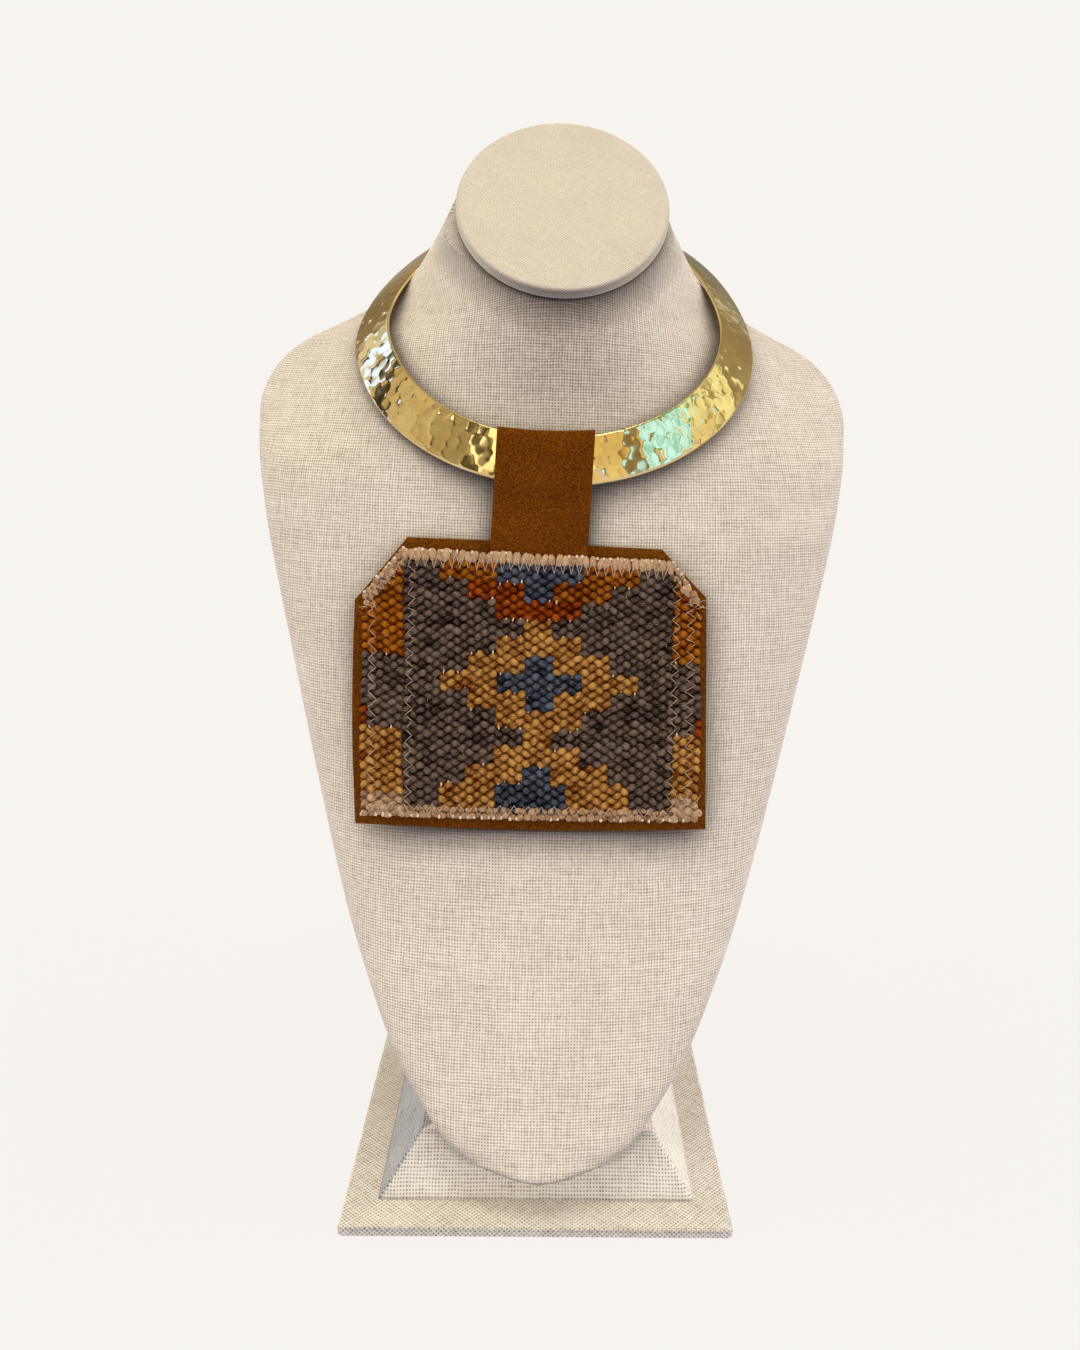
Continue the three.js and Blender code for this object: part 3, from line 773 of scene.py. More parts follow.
@dataclass
class Foot:
    """The sloping riser and the square board under it, both wrapped in linen."""

    board_width: float = 121.0
    board_depth: float = 125.0
    board_thickness: float = 3.0
    board_edge: float = 0.9
    board_corner: float = 1.6
    board_margin: float = 0.6  # width of the flat ring inside its bound edge
    riser_foot: float = 100.0
    riser_height: float = 17.0
    riser_slope: float = 12.0
    riser_edge: float = 0.8
    riser_corner: float = 1.2
    riser_y: float = 0.5
    riser_side: float = 0.97  # share of its height that its straight sides take
    riser_steps: int = 12
    # How near the side on the wearer's right, in millimetres, its painted shade begins and ends.
    riser_shade: tuple[float, float] = (-1.1, -0.5)
    corner_steps: int = 5
    side_steps: int = 24
    cord_steps: int = 330
    cord_mm: float = 1.5  # one twist of the bound edge of the board
    cord_high: float = 0.2
    cord_slant: float = 0.55  # radians of twist from one row to the next

    def square(self, half: tuple[float, float], corner: float, z: float, y: float, steps: int) -> Array:
        """A level ring round a square with rounded corners.

        Args:
            half: half its width and half its depth.
            corner: the radius of its corners.
            z: its height.
            y: the Y of its middle.
            steps: points along each side.

        Returns:
            The ring's points.
        """
        ring: list[Array] = []
        for sx, sy, start in ((1, 1, 0), (-1, 1, 90), (-1, -1, 180), (1, -1, 270)):
            for s in range(self.corner_steps + 1):
                turn = math.radians(start + 90 * s / self.corner_steps)
                across = sx * (half[0] - corner) + corner * math.cos(turn)
                ring.append(np.array([across, sy * (half[1] - corner) + corner * math.sin(turn) + y, z]))
        dense = []
        for here, there in zip(ring, ring[1:] + ring[:1]):
            pieces = steps if math.dist(here, there) > corner else 1
            dense += [here + (there - here) * s / pieces for s in range(pieces)]
        return np.array(dense)

    def wrap(self, piece: Piece, slope: float) -> None:
        """Lay the cloth on each side of a piece along its own edges.

        Args:
            piece: the piece whose cloth coordinates are set.
            slope: radians that its sides lean in.
        """
        mesh = piece.data
        layer = mesh.uv_layers["cloth"]
        for face in mesh.polygons:
            nx, ny, nz = face.normal
            for loop in face.loop_indices:
                x, y, z = (c / MM for c in mesh.vertices[mesh.loops[loop].vertex_index].co)
                if abs(nz) > 0.8:
                    layer.data[loop].uv = (x, y)
                else:
                    layer.data[loop].uv = (x if abs(ny) > abs(nx) else y, z / math.cos(slope))

    def board(self, finish: Material) -> None:
        """Make the board, its edge bound with twisted thread.

        Args:
            finish: its linen.
        """
        e, top = self.board_edge, self.board_thickness
        half_x, half_y = self.board_width / 2, self.board_depth / 2
        quarter = [math.pi / 2 * s / 4 for s in range(5)]
        levels = [(e, 0.0)]  # inset and height
        levels += [(e * (1 - math.sin(t)), e * (1 - math.cos(t)) * 0.5) for t in quarter]
        levels += [(e * (1 - math.cos(t)), top - e * (1 - math.sin(t))) for t in quarter]
        levels += [(e + self.board_margin, top)]
        rings = np.stack(
            [
                self.square((half_x - inset, half_y - inset), self.board_corner, height, 0.0, self.cord_steps)
                for inset, height in levels
            ]
        )
        # The thread shows as slanting bumps all along the edge.
        row = np.arange(len(levels))[:, None]
        twist = np.pi * (rings[..., 0] + rings[..., 1]) / self.cord_mm + row * self.cord_slant
        bump = self.cord_high * np.abs(np.sin(twist)) * np.clip(row - 3, 0, 3) / 3
        bump[-1] = 0
        outwards = rings[..., :2] / np.array([half_x, half_y])
        outwards = np.where(np.abs(outwards) > np.abs(outwards[..., ::-1]) - 0.01, np.sign(outwards), 0)
        rings[..., :2] += outwards * (bump - self.cord_high / 2)[..., None]
        rings[..., 2] += bump * smoothstep(top / 2, top, rings[..., 2])
        shell = Shell()
        shell.loft(rings)
        piece = shell.build("linen_base_board", [finish])
        self.wrap(piece, 0.0)
        seat(piece, "linen", "base_board")

    def riser(self, finish: Material) -> None:
        """Make the riser.

        Args:
            finish: its linen.
        """
        steps = self.riser_steps
        levels = [(self.riser_slope * s / steps, self.riser_side * s / steps) for s in range(steps + 1)]
        for s in range(1, 5):
            turn = math.pi / 2 * s / 4
            inset = self.riser_slope + self.riser_edge * (1 - math.cos(turn))
            levels.append((inset, self.riser_side + (1 - self.riser_side) * math.sin(turn)))
        rings = []
        for inset, share in levels:
            half, z = self.riser_foot / 2 - inset, self.board_thickness + self.riser_height * share
            rings.append(self.square((half, half), self.riser_corner, z, self.riser_y, self.side_steps))
        shell = Shell()
        shell.loft(np.stack(rings))
        # Painted shade: the side on the wearer's right is tinted darker and cooler, as if in shade; the tint
        # fades across the riser's top towards its middle.
        x = np.stack(rings)[..., 0]
        shell.values[0] = smoothstep(*self.riser_shade, x.min(axis=1, keepdims=True) - x).ravel()
        piece = shell.build("linen_riser", [finish])
        self.wrap(piece, math.atan2(self.riser_slope, self.riser_height))
        seat(piece, "linen", "riser")


# ---- Collar ----


@dataclass
class CollarBand:
    """The collar's band: a flat strip on a shallow cone, tipped forward on the shoulders."""

    x: float = 0.6
    y: float = 48.0
    z: float = 274.0
    tilt: float = 43.7
    roll: float = -0.95
    lower_radius: float = 68.8
    upper_radius: float = 56.5
    rise: float = 9.5
    thickness: float = 1.2
    crown: float = 0.5
    clasp_half_angle: float = 8.0
    clasp_thickness: float = 2.2
    dent_mm: float = 3.9  # from one hammer mark to the next
    dent_radius: float = 62.0  # of the middle of the hammer's face
    dent_rim: float = 0.0004  # how steeply a mark's edge turns up
    dent_tip: float = 0.006  # how far blows fall off square, in radians
    dent_deep: float = 0.05  # how much deeper than the shallowest the deepest are
    dent_sharp: float = 70.0  # how crisp the ridges between the marks are
    dent_rows: float = 0.9  # how much closer the rows of marks are than the marks in a row
    dent_stray: tuple[float, float] = (0.34, 0.3)  # how far they stray, along and across the band
    edge_from: float = 0.02  # share of the width that stays free of marks at each edge
    edge_to: float = 0.08  # and share within which they fade in
    # Where the wire-stiff band was bent off its circle: turn in degrees, millimetres out, spread.
    bends: tuple[tuple[float, ...], ...] = ((-86.0, 0.9, 13.0), (-122.0, -1.5, 20.0), (108.0, -1.6, 22.0))
    fine_mm: float = 0.36  # mesh step along the band
    front_steps: int = 42  # mesh steps across its front
    back_steps: int = 8
    clasp_steps: int = 24
    seam: float = 0.3  # gap between the band's end and the clasp
    # Towards the nape, from one turn to the other in radians, this much of the marks is polished away.
    nape: tuple[float, float] = (1.75, 2.1)
    nape_polish: float = 0.75
    seed: int = 7

    @property
    def width(self) -> float:
        """The band's width along its slope."""
        return math.hypot(self.lower_radius - self.upper_radius, self.rise)

    def point(self, turn: Array, across: Array, out: Array) -> Array:
        """Places on the band.

        Args:
            turn: radians round the neck from the front.
            across: nought at the lower, outer edge and one at the upper edge.
            out: millimetres out from the middle of its thickness.

        Returns:
            The points.
        """
        turn, across, out = np.broadcast_arrays(turn, across, out)
        drop = self.lower_radius - self.upper_radius
        radius = self.lower_radius - drop * across + out * self.rise / self.width
        for middle, amount, spread in self.bends:
            radius = radius + amount * np.exp(-(((np.degrees(turn) - middle) / spread) ** 2))
        height = (across - 0.5) * self.rise + out * drop / self.width
        x, y, z = radius * np.sin(turn), -radius * np.cos(turn), height
        y, z = spin(y, z, math.radians(self.tilt))
        x, z = spin(x, z, -math.radians(self.roll))
        return np.stack([x + self.x, y + self.y, z + self.z], axis=-1)

    def hammered(self, turn: Array, across: Array) -> Array:
        """How deep the hammer has sunk each place: shallow round dishes that meet in soft ridges.

        Args:
            turn: radians round the neck.
            across: place across the band.

        Returns:
            Heights in millimetres, nought at a dish's bottom.
        """
        rng = np.random.default_rng(self.seed)
        along = turn * (self.lower_radius + self.upper_radius) / 2
        over = across * self.width
        pitch, row_pitch = self.dent_mm, self.dent_mm * self.dent_rows
        low = math.floor(along.min() / pitch) - 2
        count = math.ceil(along.max() / pitch) + 3 - low
        rows = math.ceil(self.width / row_pitch) + 3
        r, c = np.mgrid[:rows, :count]
        marks_a = (c + low + 0.5 * (r % 2)) * pitch
        marks_o = (r - 1) * row_pitch
        stray_a, stray_o = self.dent_stray
        marks_a += rng.uniform(-stray_a, stray_a, marks_a.shape) * pitch
        marks_o += rng.uniform(-stray_o, stray_o, marks_o.shape) * pitch
        sunk = rng.uniform(0, self.dent_deep, marks_a.shape)
        tip_a = rng.normal(0, self.dent_tip, marks_a.shape)
        tip_o = rng.normal(0, self.dent_tip, marks_a.shape)
        column = np.clip(np.round(along / pitch).astype(int) - low, 2, count - 3)
        row = np.clip(np.round(over / row_pitch).astype(int) + 1, 0, rows - 1)
        total = np.zeros(along.shape)
        for dr in (-2, -1, 0, 1, 2):
            for dc in (-2, -1, 0, 1, 2):
                r = np.clip(row + dr, 0, rows - 1)
                c = column + dc
                inside = (row + dr >= 0) & (row + dr < rows)
                da, do = along - marks_a[r, c], over - marks_o[r, c]
                away = da**2 + do**2
                dish = away / (2 * self.dent_radius) + self.dent_rim * away**3 + sunk[r, c]
                dish = dish + tip_a[r, c] * da + tip_o[r, c] * do
                total += np.where(inside, np.exp(-self.dent_sharp * dish), 0)
        return -np.log(np.maximum(total, 1e-12)) / self.dent_sharp

    def strip(self, start: float, end: float, thickness: float, steps: int, hammered: bool) -> Array:
        """Rings across the band between two turns.

        Args:
            start: first turn in radians.
            end: last turn in radians.
            thickness: the metal's thickness.
            steps: steps between the two turns.
            hammered: whether it shows the hammer's marks.

        Returns:
            The rings, as rows by columns by three.
        """
        side = thickness / 2
        rim = side / self.width
        rounds = np.linspace(0, np.pi, 7)[1:-1]
        back = [(rim + (1 - 2 * rim) * s / self.back_steps, -side) for s in range(self.back_steps + 1)]
        top = [(1 - rim + rim * math.sin(a), -side * math.cos(a)) for a in rounds]
        front = [(1 - rim - (1 - 2 * rim) * s / self.front_steps, side) for s in range(self.front_steps + 1)]
        low = [(rim - rim * math.sin(a), side * math.cos(a)) for a in rounds]
        outline = np.array(back + top + front + low)
        turn, across = np.meshgrid(np.linspace(start, end, steps + 1), outline[:, 0], indexing="ij")
        out = np.broadcast_to(outline[:, 1], turn.shape).copy()
        shown = smoothstep(0, side, out)
        out += np.clip(out / side, 0, 1) * self.crown * (1 - (2 * across - 1) ** 2)
        if hammered:
            # The marks stop short of both edges, where the metal stands up a little.
            for from_edge in (across, 1 - across):
                shown = shown * smoothstep(self.edge_from, self.edge_to, from_edge)
            shown = shown * (1 - self.nape_polish * smoothstep(*self.nape, np.abs(turn)))
            out += (self.hammered(turn, across) - self.dent_deep) * shown
        return self.point(turn, across, out)

    def build(self, finish: Material) -> None:
        """Make the collar and its clasp.

        Args:
            finish: the brass.
        """
        end = math.pi - math.radians(self.clasp_half_angle)
        seam = self.seam / self.upper_radius
        steps = round(2 * end * (self.lower_radius + self.upper_radius) / 2 / self.fine_mm)
        collar = Shell()
        collar.loft(self.strip(-end, end, self.thickness, steps, True))
        seat(collar.build("hammered_collar", [finish]), "brass", "collar")
        clasp = Shell()
        clasp_ends = end + seam, 2 * math.pi - end - seam
        clasp.loft(self.strip(*clasp_ends, self.clasp_thickness, self.clasp_steps, False))
        seat(clasp.build("collar_clasp_plate", [finish]), "brass", "collar_clasp")


# ---- Strap and pendant ----


@dataclass
class ChestPlane:
    """The flat lie of the chest, on which the pendant hangs."""

    foot_y: float = -59.5
    foot_z: float = 17.0
    lean: float = 17.87

    def point(self, x: Array, up: Array, out: Array) -> Array:
        """Places over the chest.

        Args:
            x: to the wearer's left.
            up: up the chest from its foot.
            out: out from it.

        Returns:
            The points.
        """
        x, up, out = np.broadcast_arrays(np.asarray(x, float), np.asarray(up, float), np.asarray(out, float))
        lean = math.radians(self.lean)
        y = self.foot_y + up * math.sin(lean) - out * math.cos(lean)
        z = self.foot_z + up * math.cos(lean) + out * math.sin(lean)
        return np.stack([x, y, z], axis=-1)


@dataclass
class Strap:
    """The suede strap: one strip folded over the collar, both ends sewn in behind the kilim."""

    band: CollarBand
    chest: ChestPlane
    left: float = -18.2
    width: float = 31.0
    layer: float = 1.1
    slack: float = 0.55
    join_below: float = 6.0
    tail_up: float = 183.0
    lip_up: float = 197.4
    tail_out: float = 2.2
    drift: float = -0.04
    edge: float = 0.28
    follow: float = 0.5  # share of the band's curve that its stiff fold follows, bridging the rest
    stand: float = 0.35  # and how far up the fold stands
    steps: int = 9
    columns: int = 26

    def front_of_band(self, up: float, out: float) -> Array:
        """A place in front of the band in the middle plane, up it from its middle and out from it."""
        return self.band.point(np.array(0.0), np.array(0.5 + up / self.band.width), np.array(out))[1:]

    def path(self) -> Array:
        """The middle of the strip's thickness from one sewn end to the other, in the middle plane.

        Returns:
            Y and Z of each point.
        """
        half = self.band.width / 2
        front = self.band.thickness / 2 + self.band.crown + self.slack + self.layer / 2
        back = -self.band.thickness / 2 - self.slack - self.layer / 2
        middle = (front + back) / 2
        top = half + self.slack + self.layer / 2
        lay = self.layer / 2
        turn_in = (front - back) / 2 * 0.62
        sewn = (self.tail_up, self.tail_up + 5, self.lip_up)
        front_end, back_end = (
            [self.chest.point(0, up, self.tail_out + out)[1:] for up in sewn] for out in (3 * lay, lay)
        )
        loop = [
            (-half - self.join_below, middle + lay), (-half, front), (0, front), (half * 0.75, front),
            (top - 0.35, middle + turn_in), (top, middle), (top - 0.35, middle - turn_in),
            (half * 0.75, back), (0, back), (-half, back), (-half - self.join_below, middle - lay),
        ]
        rows = [*front_end, *(self.front_of_band(up, out) for up, out in loop), *back_end[::-1]]
        return catmull(np.array(rows), self.steps)

    def build(self, finish: Material) -> None:
        """Make the strap.

        Args:
            finish: its suede.
        """
        path = self.path()
        ahead = np.gradient(path, axis=0)
        ahead /= np.linalg.norm(ahead, axis=1, keepdims=True)
        normal = np.stack([-ahead[:, 1], ahead[:, 0]], axis=1)
        # The strip's cross-section: flat faces with edges cut square and a little rounded.
        edge, nick, lay = self.edge, self.edge * 0.3, self.layer / 2
        across = [edge + (self.width - 2 * edge) * s / self.columns for s in range(self.columns + 1)]
        outline = [(0.0, edge - lay), (0.0, lay - edge), (nick, lay - nick)]
        outline += [(x, lay) for x in across] + [(self.width - nick, lay - nick)]
        section = np.array(outline + [(self.width - x, -y) for x, y in outline])
        half = self.band.width / 2
        low = self.front_of_band(-half, 0)[1]
        high = self.front_of_band(half, 0)[1]
        flat_from = self.chest.point(0, self.lip_up, 0)[2]
        middle = self.front_of_band(0, 0)[1]
        rings = np.zeros((len(path), len(section), 3))
        rings[..., 0] = self.left + section[None, :, 0]
        rings[..., 1:] = path[:, None] + normal[:, None] * section[None, :, 1:2]
        aside = rings[..., 0] - self.band.x
        height = rings[..., 2]
        bent = smoothstep(flat_from, low, height)
        share = np.clip((height - low) / (high - low), 0, None)
        radius = self.band.lower_radius + (self.band.upper_radius - self.band.lower_radius) * share
        recede = (radius - np.sqrt(radius**2 - aside**2)) * bent
        lean = math.radians(self.band.tilt)
        lift = -aside * math.sin(math.radians(self.band.roll)) * bent
        rings[..., 0] += self.drift * (middle - height)
        rings[..., 1] += recede * math.cos(lean)
        rings[..., 2] += (recede * self.follow + self.stand * bent) * math.sin(lean) + lift
        shell = Shell()
        shell.loft(rings[:, ::-1])
        piece = seat(shell.build("suede_strap", [finish]), "suede", "strap")
        length = float(np.linalg.norm(np.diff(path, axis=0), axis=1).sum())
        log.info("strap: cut %.1f by %.1f mm", self.width, length)


@dataclass
class Panel:
    """An upright panel on the chest with both upper corners cut off, given by its corners."""

    # Each corner is X and up the chest, from the lower left one round to the left one of the cut.
    corners: tuple[tuple[float, float], ...]
    bows: tuple[float, ...]  # how far each edge bows out past a straight line

    def outline(self, steps: int = 16) -> Array:
        """The panel's edge.

        Args:
            steps: points per edge.

        Returns:
            Points round the edge, against the clock.
        """
        points = []
        for i, (x0, y0) in enumerate(self.corners):
            x1, y1 = self.corners[(i + 1) % len(self.corners)]
            length = math.hypot(x1 - x0, y1 - y0)
            for s in range(steps):
                share = s / steps
                out = self.bows[i] * math.sin(math.pi * share) / length
                x, y = x0 + (x1 - x0) * share, y0 + (y1 - y0) * share
                points.append((x + (y1 - y0) * out, y - (x1 - x0) * out))
        return np.array(points)

    def area(self) -> float:
        """The panel's flat area in square millimetres."""
        x, y = self.outline().T
        return float(abs(np.dot(x, np.roll(y, -1)) - np.dot(y, np.roll(x, -1))) / 2)

    def size(self) -> tuple[float, float]:
        """The width and height of the rectangle that the panel is cut from."""
        low, high = self.outline().min(0), self.outline().max(0)
        return float(high[0] - low[0]), float(high[1] - low[1])


BACKING = Panel(
    corners=((-58.8, 107.8), (50.2, 107.8), (49.8, 181.1), (35.6, 196.2), (-45.6, 198.2), (-61.5, 177.7)),
    bows=(1.2, 0.1, -0.2, 0.2, -0.1, 0.9),
)
KILIM = Panel(
    corners=((-56.6, 110.5), (47.2, 110.3), (47.7, 179.4), (38.8, 191.9), (-46.8, 194.1), (-59.2, 178.6)),
    bows=(0.5, 0.3, 0.4, 0.5, 0.2, 0.3),
)


@dataclass
class Backing:
    """The suede panel behind the kilim."""

    chest: ChestPlane
    out: float = 0.4
    thickness: float = 1.5
    off: float = 0.12  # how far it stands off flat, more or less
    ripple: float = 0.1  # and how much more or less
    wave_mm: tuple[float, float] = (13.0, 17.0)

    def build(self, finish: Material) -> None:
        """Make the backing.

        Args:
            finish: its suede.
        """
        edge = BACKING.outline()
        centre = edge.mean(0)
        # Each ring's share of the outline and height, from the back over the cut edge to the front.
        top = self.thickness
        rings = []
        for share, out in ((0.995, 0.0), (1.0, 0.3), (1.0, top - 0.4), (0.996, top), (0.9, top)):
            flat = centre + (edge - centre) * share
            rings.append(self.chest.point(flat[:, 0], flat[:, 1], self.out + out + self.wave(flat)))
        shell = Shell()
        shell.loft(np.stack(rings))
        piece = seat(shell.build("suede_backing", [finish]), "suede", "pendant_backing")
        width, height = BACKING.size()
        BACKING.area() * MM * MM

    def wave(self, flat: Array) -> Array:
        """How far the panel stands off flat, in millimetres."""
        along, up = self.wave_mm
        return self.off + self.ripple * np.sin(flat[:, 0] / along) * np.cos(flat[:, 1] / up)


@dataclass(frozen=True)
class Binding:
    """How loops of undyed wool are laid over one edge of the kilim."""

    pitch: float  # from one loop to the next
    rows: int  # how many loops deep it is
    deep: float  # depth of one row, measured into the panel
    skew: float = 0.0  # radians that the loops lean
    pale: float = 0.0  # how much paler than usual the wool is


@dataclass
class Kilim:
    """The woven panel: passes of thick wool weft, each over one warp and under the next.

    Every pass is a yarn of its own, so its loops stand up as beads and its dips show as dark
    creases. The pattern is the common kilim stepped diamond, charted in columns of warp and rows
    of four passes.
    """

    chest: ChestPlane
    column_mm: float = 2.22  # warp spacing
    row_mm: float = 5.7  # height of one step of the pattern
    passes: int = 4  # passes of weft per step
    middle_x: float = -2.9  # middle of the diamonds
    middle_up: float = 151.8
    field_up: float = 1.1  # how far the field's rows have slipped up past those of the side bands
    foot_passes: int = 2  # passes added below the last full step
    left_columns: int = 25  # columns to the left of the middle
    right_columns: int = 23
    left_slit: int = -19  # column where the left side band ends
    right_slit: int = 19  # column where the right side band begins
    top_row: int = 6
    back_out: float = 2.3
    ground_out: float = 4.1
    ground_share: float = 0.985  # the ground's size beside the outline, so that loops cover its edge
    loop_lift: float = 1.15  # height from a dip to the top of a loop
    loop_half: float = 1.2  # half the height of a loop up the cloth
    dip_half: float = 0.8
    loop_lean: float = 0.16  # how far a loop leans from one pass towards the next
    plump: float = 0.62  # a loop's thickness beside its height up the cloth
    sunk: float = 0.65  # how far its middle lies under that height
    peak: float = 0.62  # below one, loops stay high for most of their length
    full: float = 0.8  # below one, they stay broad too
    twist: float = 0.55  # how steeply the strands wind round the yarn
    wear_and_painted_light: tuple[float, float, float] = (0.34, 0.16, 0.1)  # painted light and shade: how much paler the loops' crowns and tops are painted, and how much darker their sides
    tail_out: float = 0.35  # how far the strap's sewn end pushes the panel out
    slack: float = 0.12  # and how far off flat it is elsewhere
    # The even chart's left side, foot, width and height; then for each side of the real cloth its X
    # at the foot, and how much further left or right it is at the top.
    chart: tuple[float, float, float, float] = (-58.4, 110.0, 106.6, 80.0)
    sides: tuple[tuple[float, float], ...] = ((-57.2, -2.2), (47.8, 0.4))
    sway: float = 0.35  # how far columns wander to the side
    swell: float = 0.3  # how far rows wander up and down
    tip: float = 2.0  # how far the top row drops from the left to the right
    sag: float = 0.9  # how far the middle of the foot hangs down
    strip_ends = ((-0.12, -0.05), (0.0, -0.1), (-0.03, 0.0))  # columns that field and bands stop short by
    samples: int = 6  # mesh steps per column
    around: int = 8
    seed: int = 21

    def bulge(self, x: Array, up: Array) -> Array:
        """How far the panel is pushed out over the strap's sewn end, and where it is a little slack."""
        tail = between((-22, -15, 8, 15), x) * smoothstep(178, 186, up)
        return self.tail_out * tail + self.slack * np.sin(x / 11) * np.cos(up / 9)

    def lay(self, x: Array, up: Array) -> tuple[Array, Array]:
        """Pull places of the even chart to where the real, slightly uneven cloth has them.

        Args:
            x: places across the even chart.
            up: places up it.

        Returns:
            The places on the chest, as X and up.
        """
        x, up = np.asarray(x, float), np.asarray(up, float)
        x_start, up_start, width, height = self.chart
        share_x, share_up = (x - x_start) / width, (up - up_start) / height
        left, right = (foot + out * share_up for foot, out in self.sides)
        new_x = left + (right - left) * share_x + self.sway * np.sin(up / 7.3 + x / 40)
        sag = self.tip * share_up * (share_x - 0.35) + self.sag * np.sin(np.pi * share_x) * (1 - share_up)
        return new_x, up - sag + self.swell * np.sin(x / 6.1 + up / 30)

    def inside(self, x: Array, up: Array, margin: float) -> Array:
        """Tell which places lie in the panel, clear of its cut corners.

        Args:
            x: the places, across the chest.
            up: the places, up it.
            margin: how far they have to be from the cuts.

        Returns:
            Whether each place does.
        """
        clear = np.ones(np.shape(x), bool)
        for first in (2, 4):
            (x0, y0), (x1, y1) = KILIM.corners[first : first + 2]
            away = ((x - x0) * (y1 - y0) - (up - y0) * (x1 - x0)) / math.hypot(x1 - x0, y1 - y0)
            clear &= away < -margin
        return clear

    def yarn_at(self, column: int, step: int) -> Yarn:
        """The chart.

        Args:
            column: warp column, nought just right of the middle.
            step: pattern row, nought for the middle one.

        Returns:
            The yarn that shows there.
        """
        if column < self.left_slit or column >= self.right_slit:
            outermost = column < 1 - self.left_columns or column >= self.right_columns - 1
            if step >= 2:
                return Yarn.ORANGE
            if step >= -2:
                return Yarn.RUST if outermost and step == -2 else Yarn.GREY
            return Yarn.GOLD
        step = max(step, -self.top_row)
        aside = abs(column + 0.5)
        if step == -self.top_row and column > 0:
            # The last row's right side was left a column or two short.
            aside += 2 if column < 8 else 1
        level = math.ceil((aside - 2) / 4) if aside > 2 else 0
        from_tip = min(abs(step), abs(step - 6), abs(step + 6))
        if level > 3 - from_tip:
            return Yarn.GREY
        if (from_tip == 0 and level <= 1) or (from_tip == 1 and level == 0):
            return Yarn.BLUE
        if step > 3:
            return Yarn.RUST if step == 4 or (step == 5 and column < 0) else Yarn.ORANGE
        return Yarn.GOLD

    def row_height(self, column: int, step: float) -> float:
        """How far up the even chart a row lies in a column's strip."""
        in_field = self.left_slit <= column < self.right_slit
        return self.middle_up + step * self.row_mm + (self.field_up if in_field else 0.0)

    def pass_of_weft(
        self,
        shell: Shell,
        rng: np.random.Generator,
        number: int,
        strip: tuple[int, int],
        ends: tuple[float, float],
    ) -> None:
        """Lay one pass of weft.

        Args:
            shell: the mesh it goes into.
            rng: where its unevenness comes from.
            number: the pass, counted from the foot.
            strip: its first column and the one after its last.
            ends: how far short of the first and last column it stops, in columns.
        """
        first, last = strip
        step = number // self.passes - self.top_row
        column = np.linspace(first + ends[0], last - ends[1], (last - first) * self.samples + 1)
        marks = np.arange(first - 1, last + 1) + 0.5
        yarns = [self.yarn_at(j, step) for j in range(first, last)]
        if number < self.foot_passes and not self.left_slit <= first < self.right_slit:
            yarns = [Yarn.BEIGE] * len(yarns)

        def uneven(spread: float) -> Array:
            """A smooth random run along the pass, with one value per loop."""
            return np.interp(column, marks, rng.normal(0, spread, len(marks)))

        share = (np.cos(np.pi * (column - 0.5 + number)) + 1) / 2
        lift = share**self.peak * self.loop_lift * (1 + uneven(0.09))
        half = self.dip_half + (self.loop_half - self.dip_half) * share**self.full + share * uneven(0.11)
        # Both ends of the yarn are rounded off.
        to_end = np.clip(np.minimum(column - column[0], column[-1] - column) / 0.24, 0, 1)
        half *= np.sqrt(np.clip(1 - (1 - to_end) ** 2, 0.04, 1))
        lean = self.loop_lean * (-1) ** (first + number) + uneven(0.15)
        up = self.row_height(first, (number + 0.5) / self.passes - self.top_row - 0.5)
        rise = up + lean * np.sin(np.pi * (column - 0.5 + number)) + uneven(0.1)
        x, rise = self.lay(self.middle_x + (column + uneven(0.05)) * self.column_mm, rise)
        # How near the cut corners each strip goes.
        margin = 2.4 if first == self.left_slit else 3.2 if first < 0 else 2.2
        spots = np.flatnonzero(self.inside(x, rise, margin))
        if len(spots) < 4:
            return
        chosen = slice(spots[0], spots[-1] + 1)
        x, rise, lift, half, column = x[chosen], rise[chosen], lift[chosen], half[chosen], column[chosen]
        turn = turns(self.around)
        thick = self.plump * half + 0.2
        out = self.ground_out + self.bulge(x, rise) + lift - self.sunk
        up, out = rise[:, None] + half[:, None] * np.cos(turn), out[:, None] + thick[:, None] * np.sin(turn)
        rings = self.chest.point(x[:, None], up, out)
        # The strands wind round the yarn as it was spun.
        length = np.cumsum(np.concatenate([[0], np.hypot(np.diff(x), np.diff(lift))]))[:, None] + number * 31
        wound = np.arange(self.around + 1) / self.around * 7 + length * self.twist
        uvs = np.stack(np.broadcast_arrays(length, wound), axis=2)
        start = len(shell.faces)
        shell.loft(rings, uvs)
        dye = rng.normal(0, 0.04) + np.interp(column, marks, rng.normal(0, 0.1, len(marks)))
        pale = np.interp(column, marks, (rng.random(len(marks)) < 0.05) * 0.2)
        # Painted light and shade: the crowns and tops of the loops are painted paler, and their dips and sides
        # darker, as light and shade fall on them.
        loops, tops, sides = self.wear_and_painted_light
        wear_and_painted_light = loops * (share[chosen][:, None] - 0.75) + tops * (np.sin(turn) - 0.6)
        wear_and_painted_light = wear_and_painted_light - sides * np.abs(np.cos(turn))
        shell.values[-3] = ((dye + pale)[:, None] + wear_and_painted_light).ravel()
        places = np.floor((column[:-1] + column[1:]) / 2).astype(int) - first
        slots = [yarns[place].slot for place in np.clip(places, 0, len(yarns) - 1)]
        shell.slots[start:] = np.repeat([*slots, slots[0], slots[-1]], self.around).tolist()

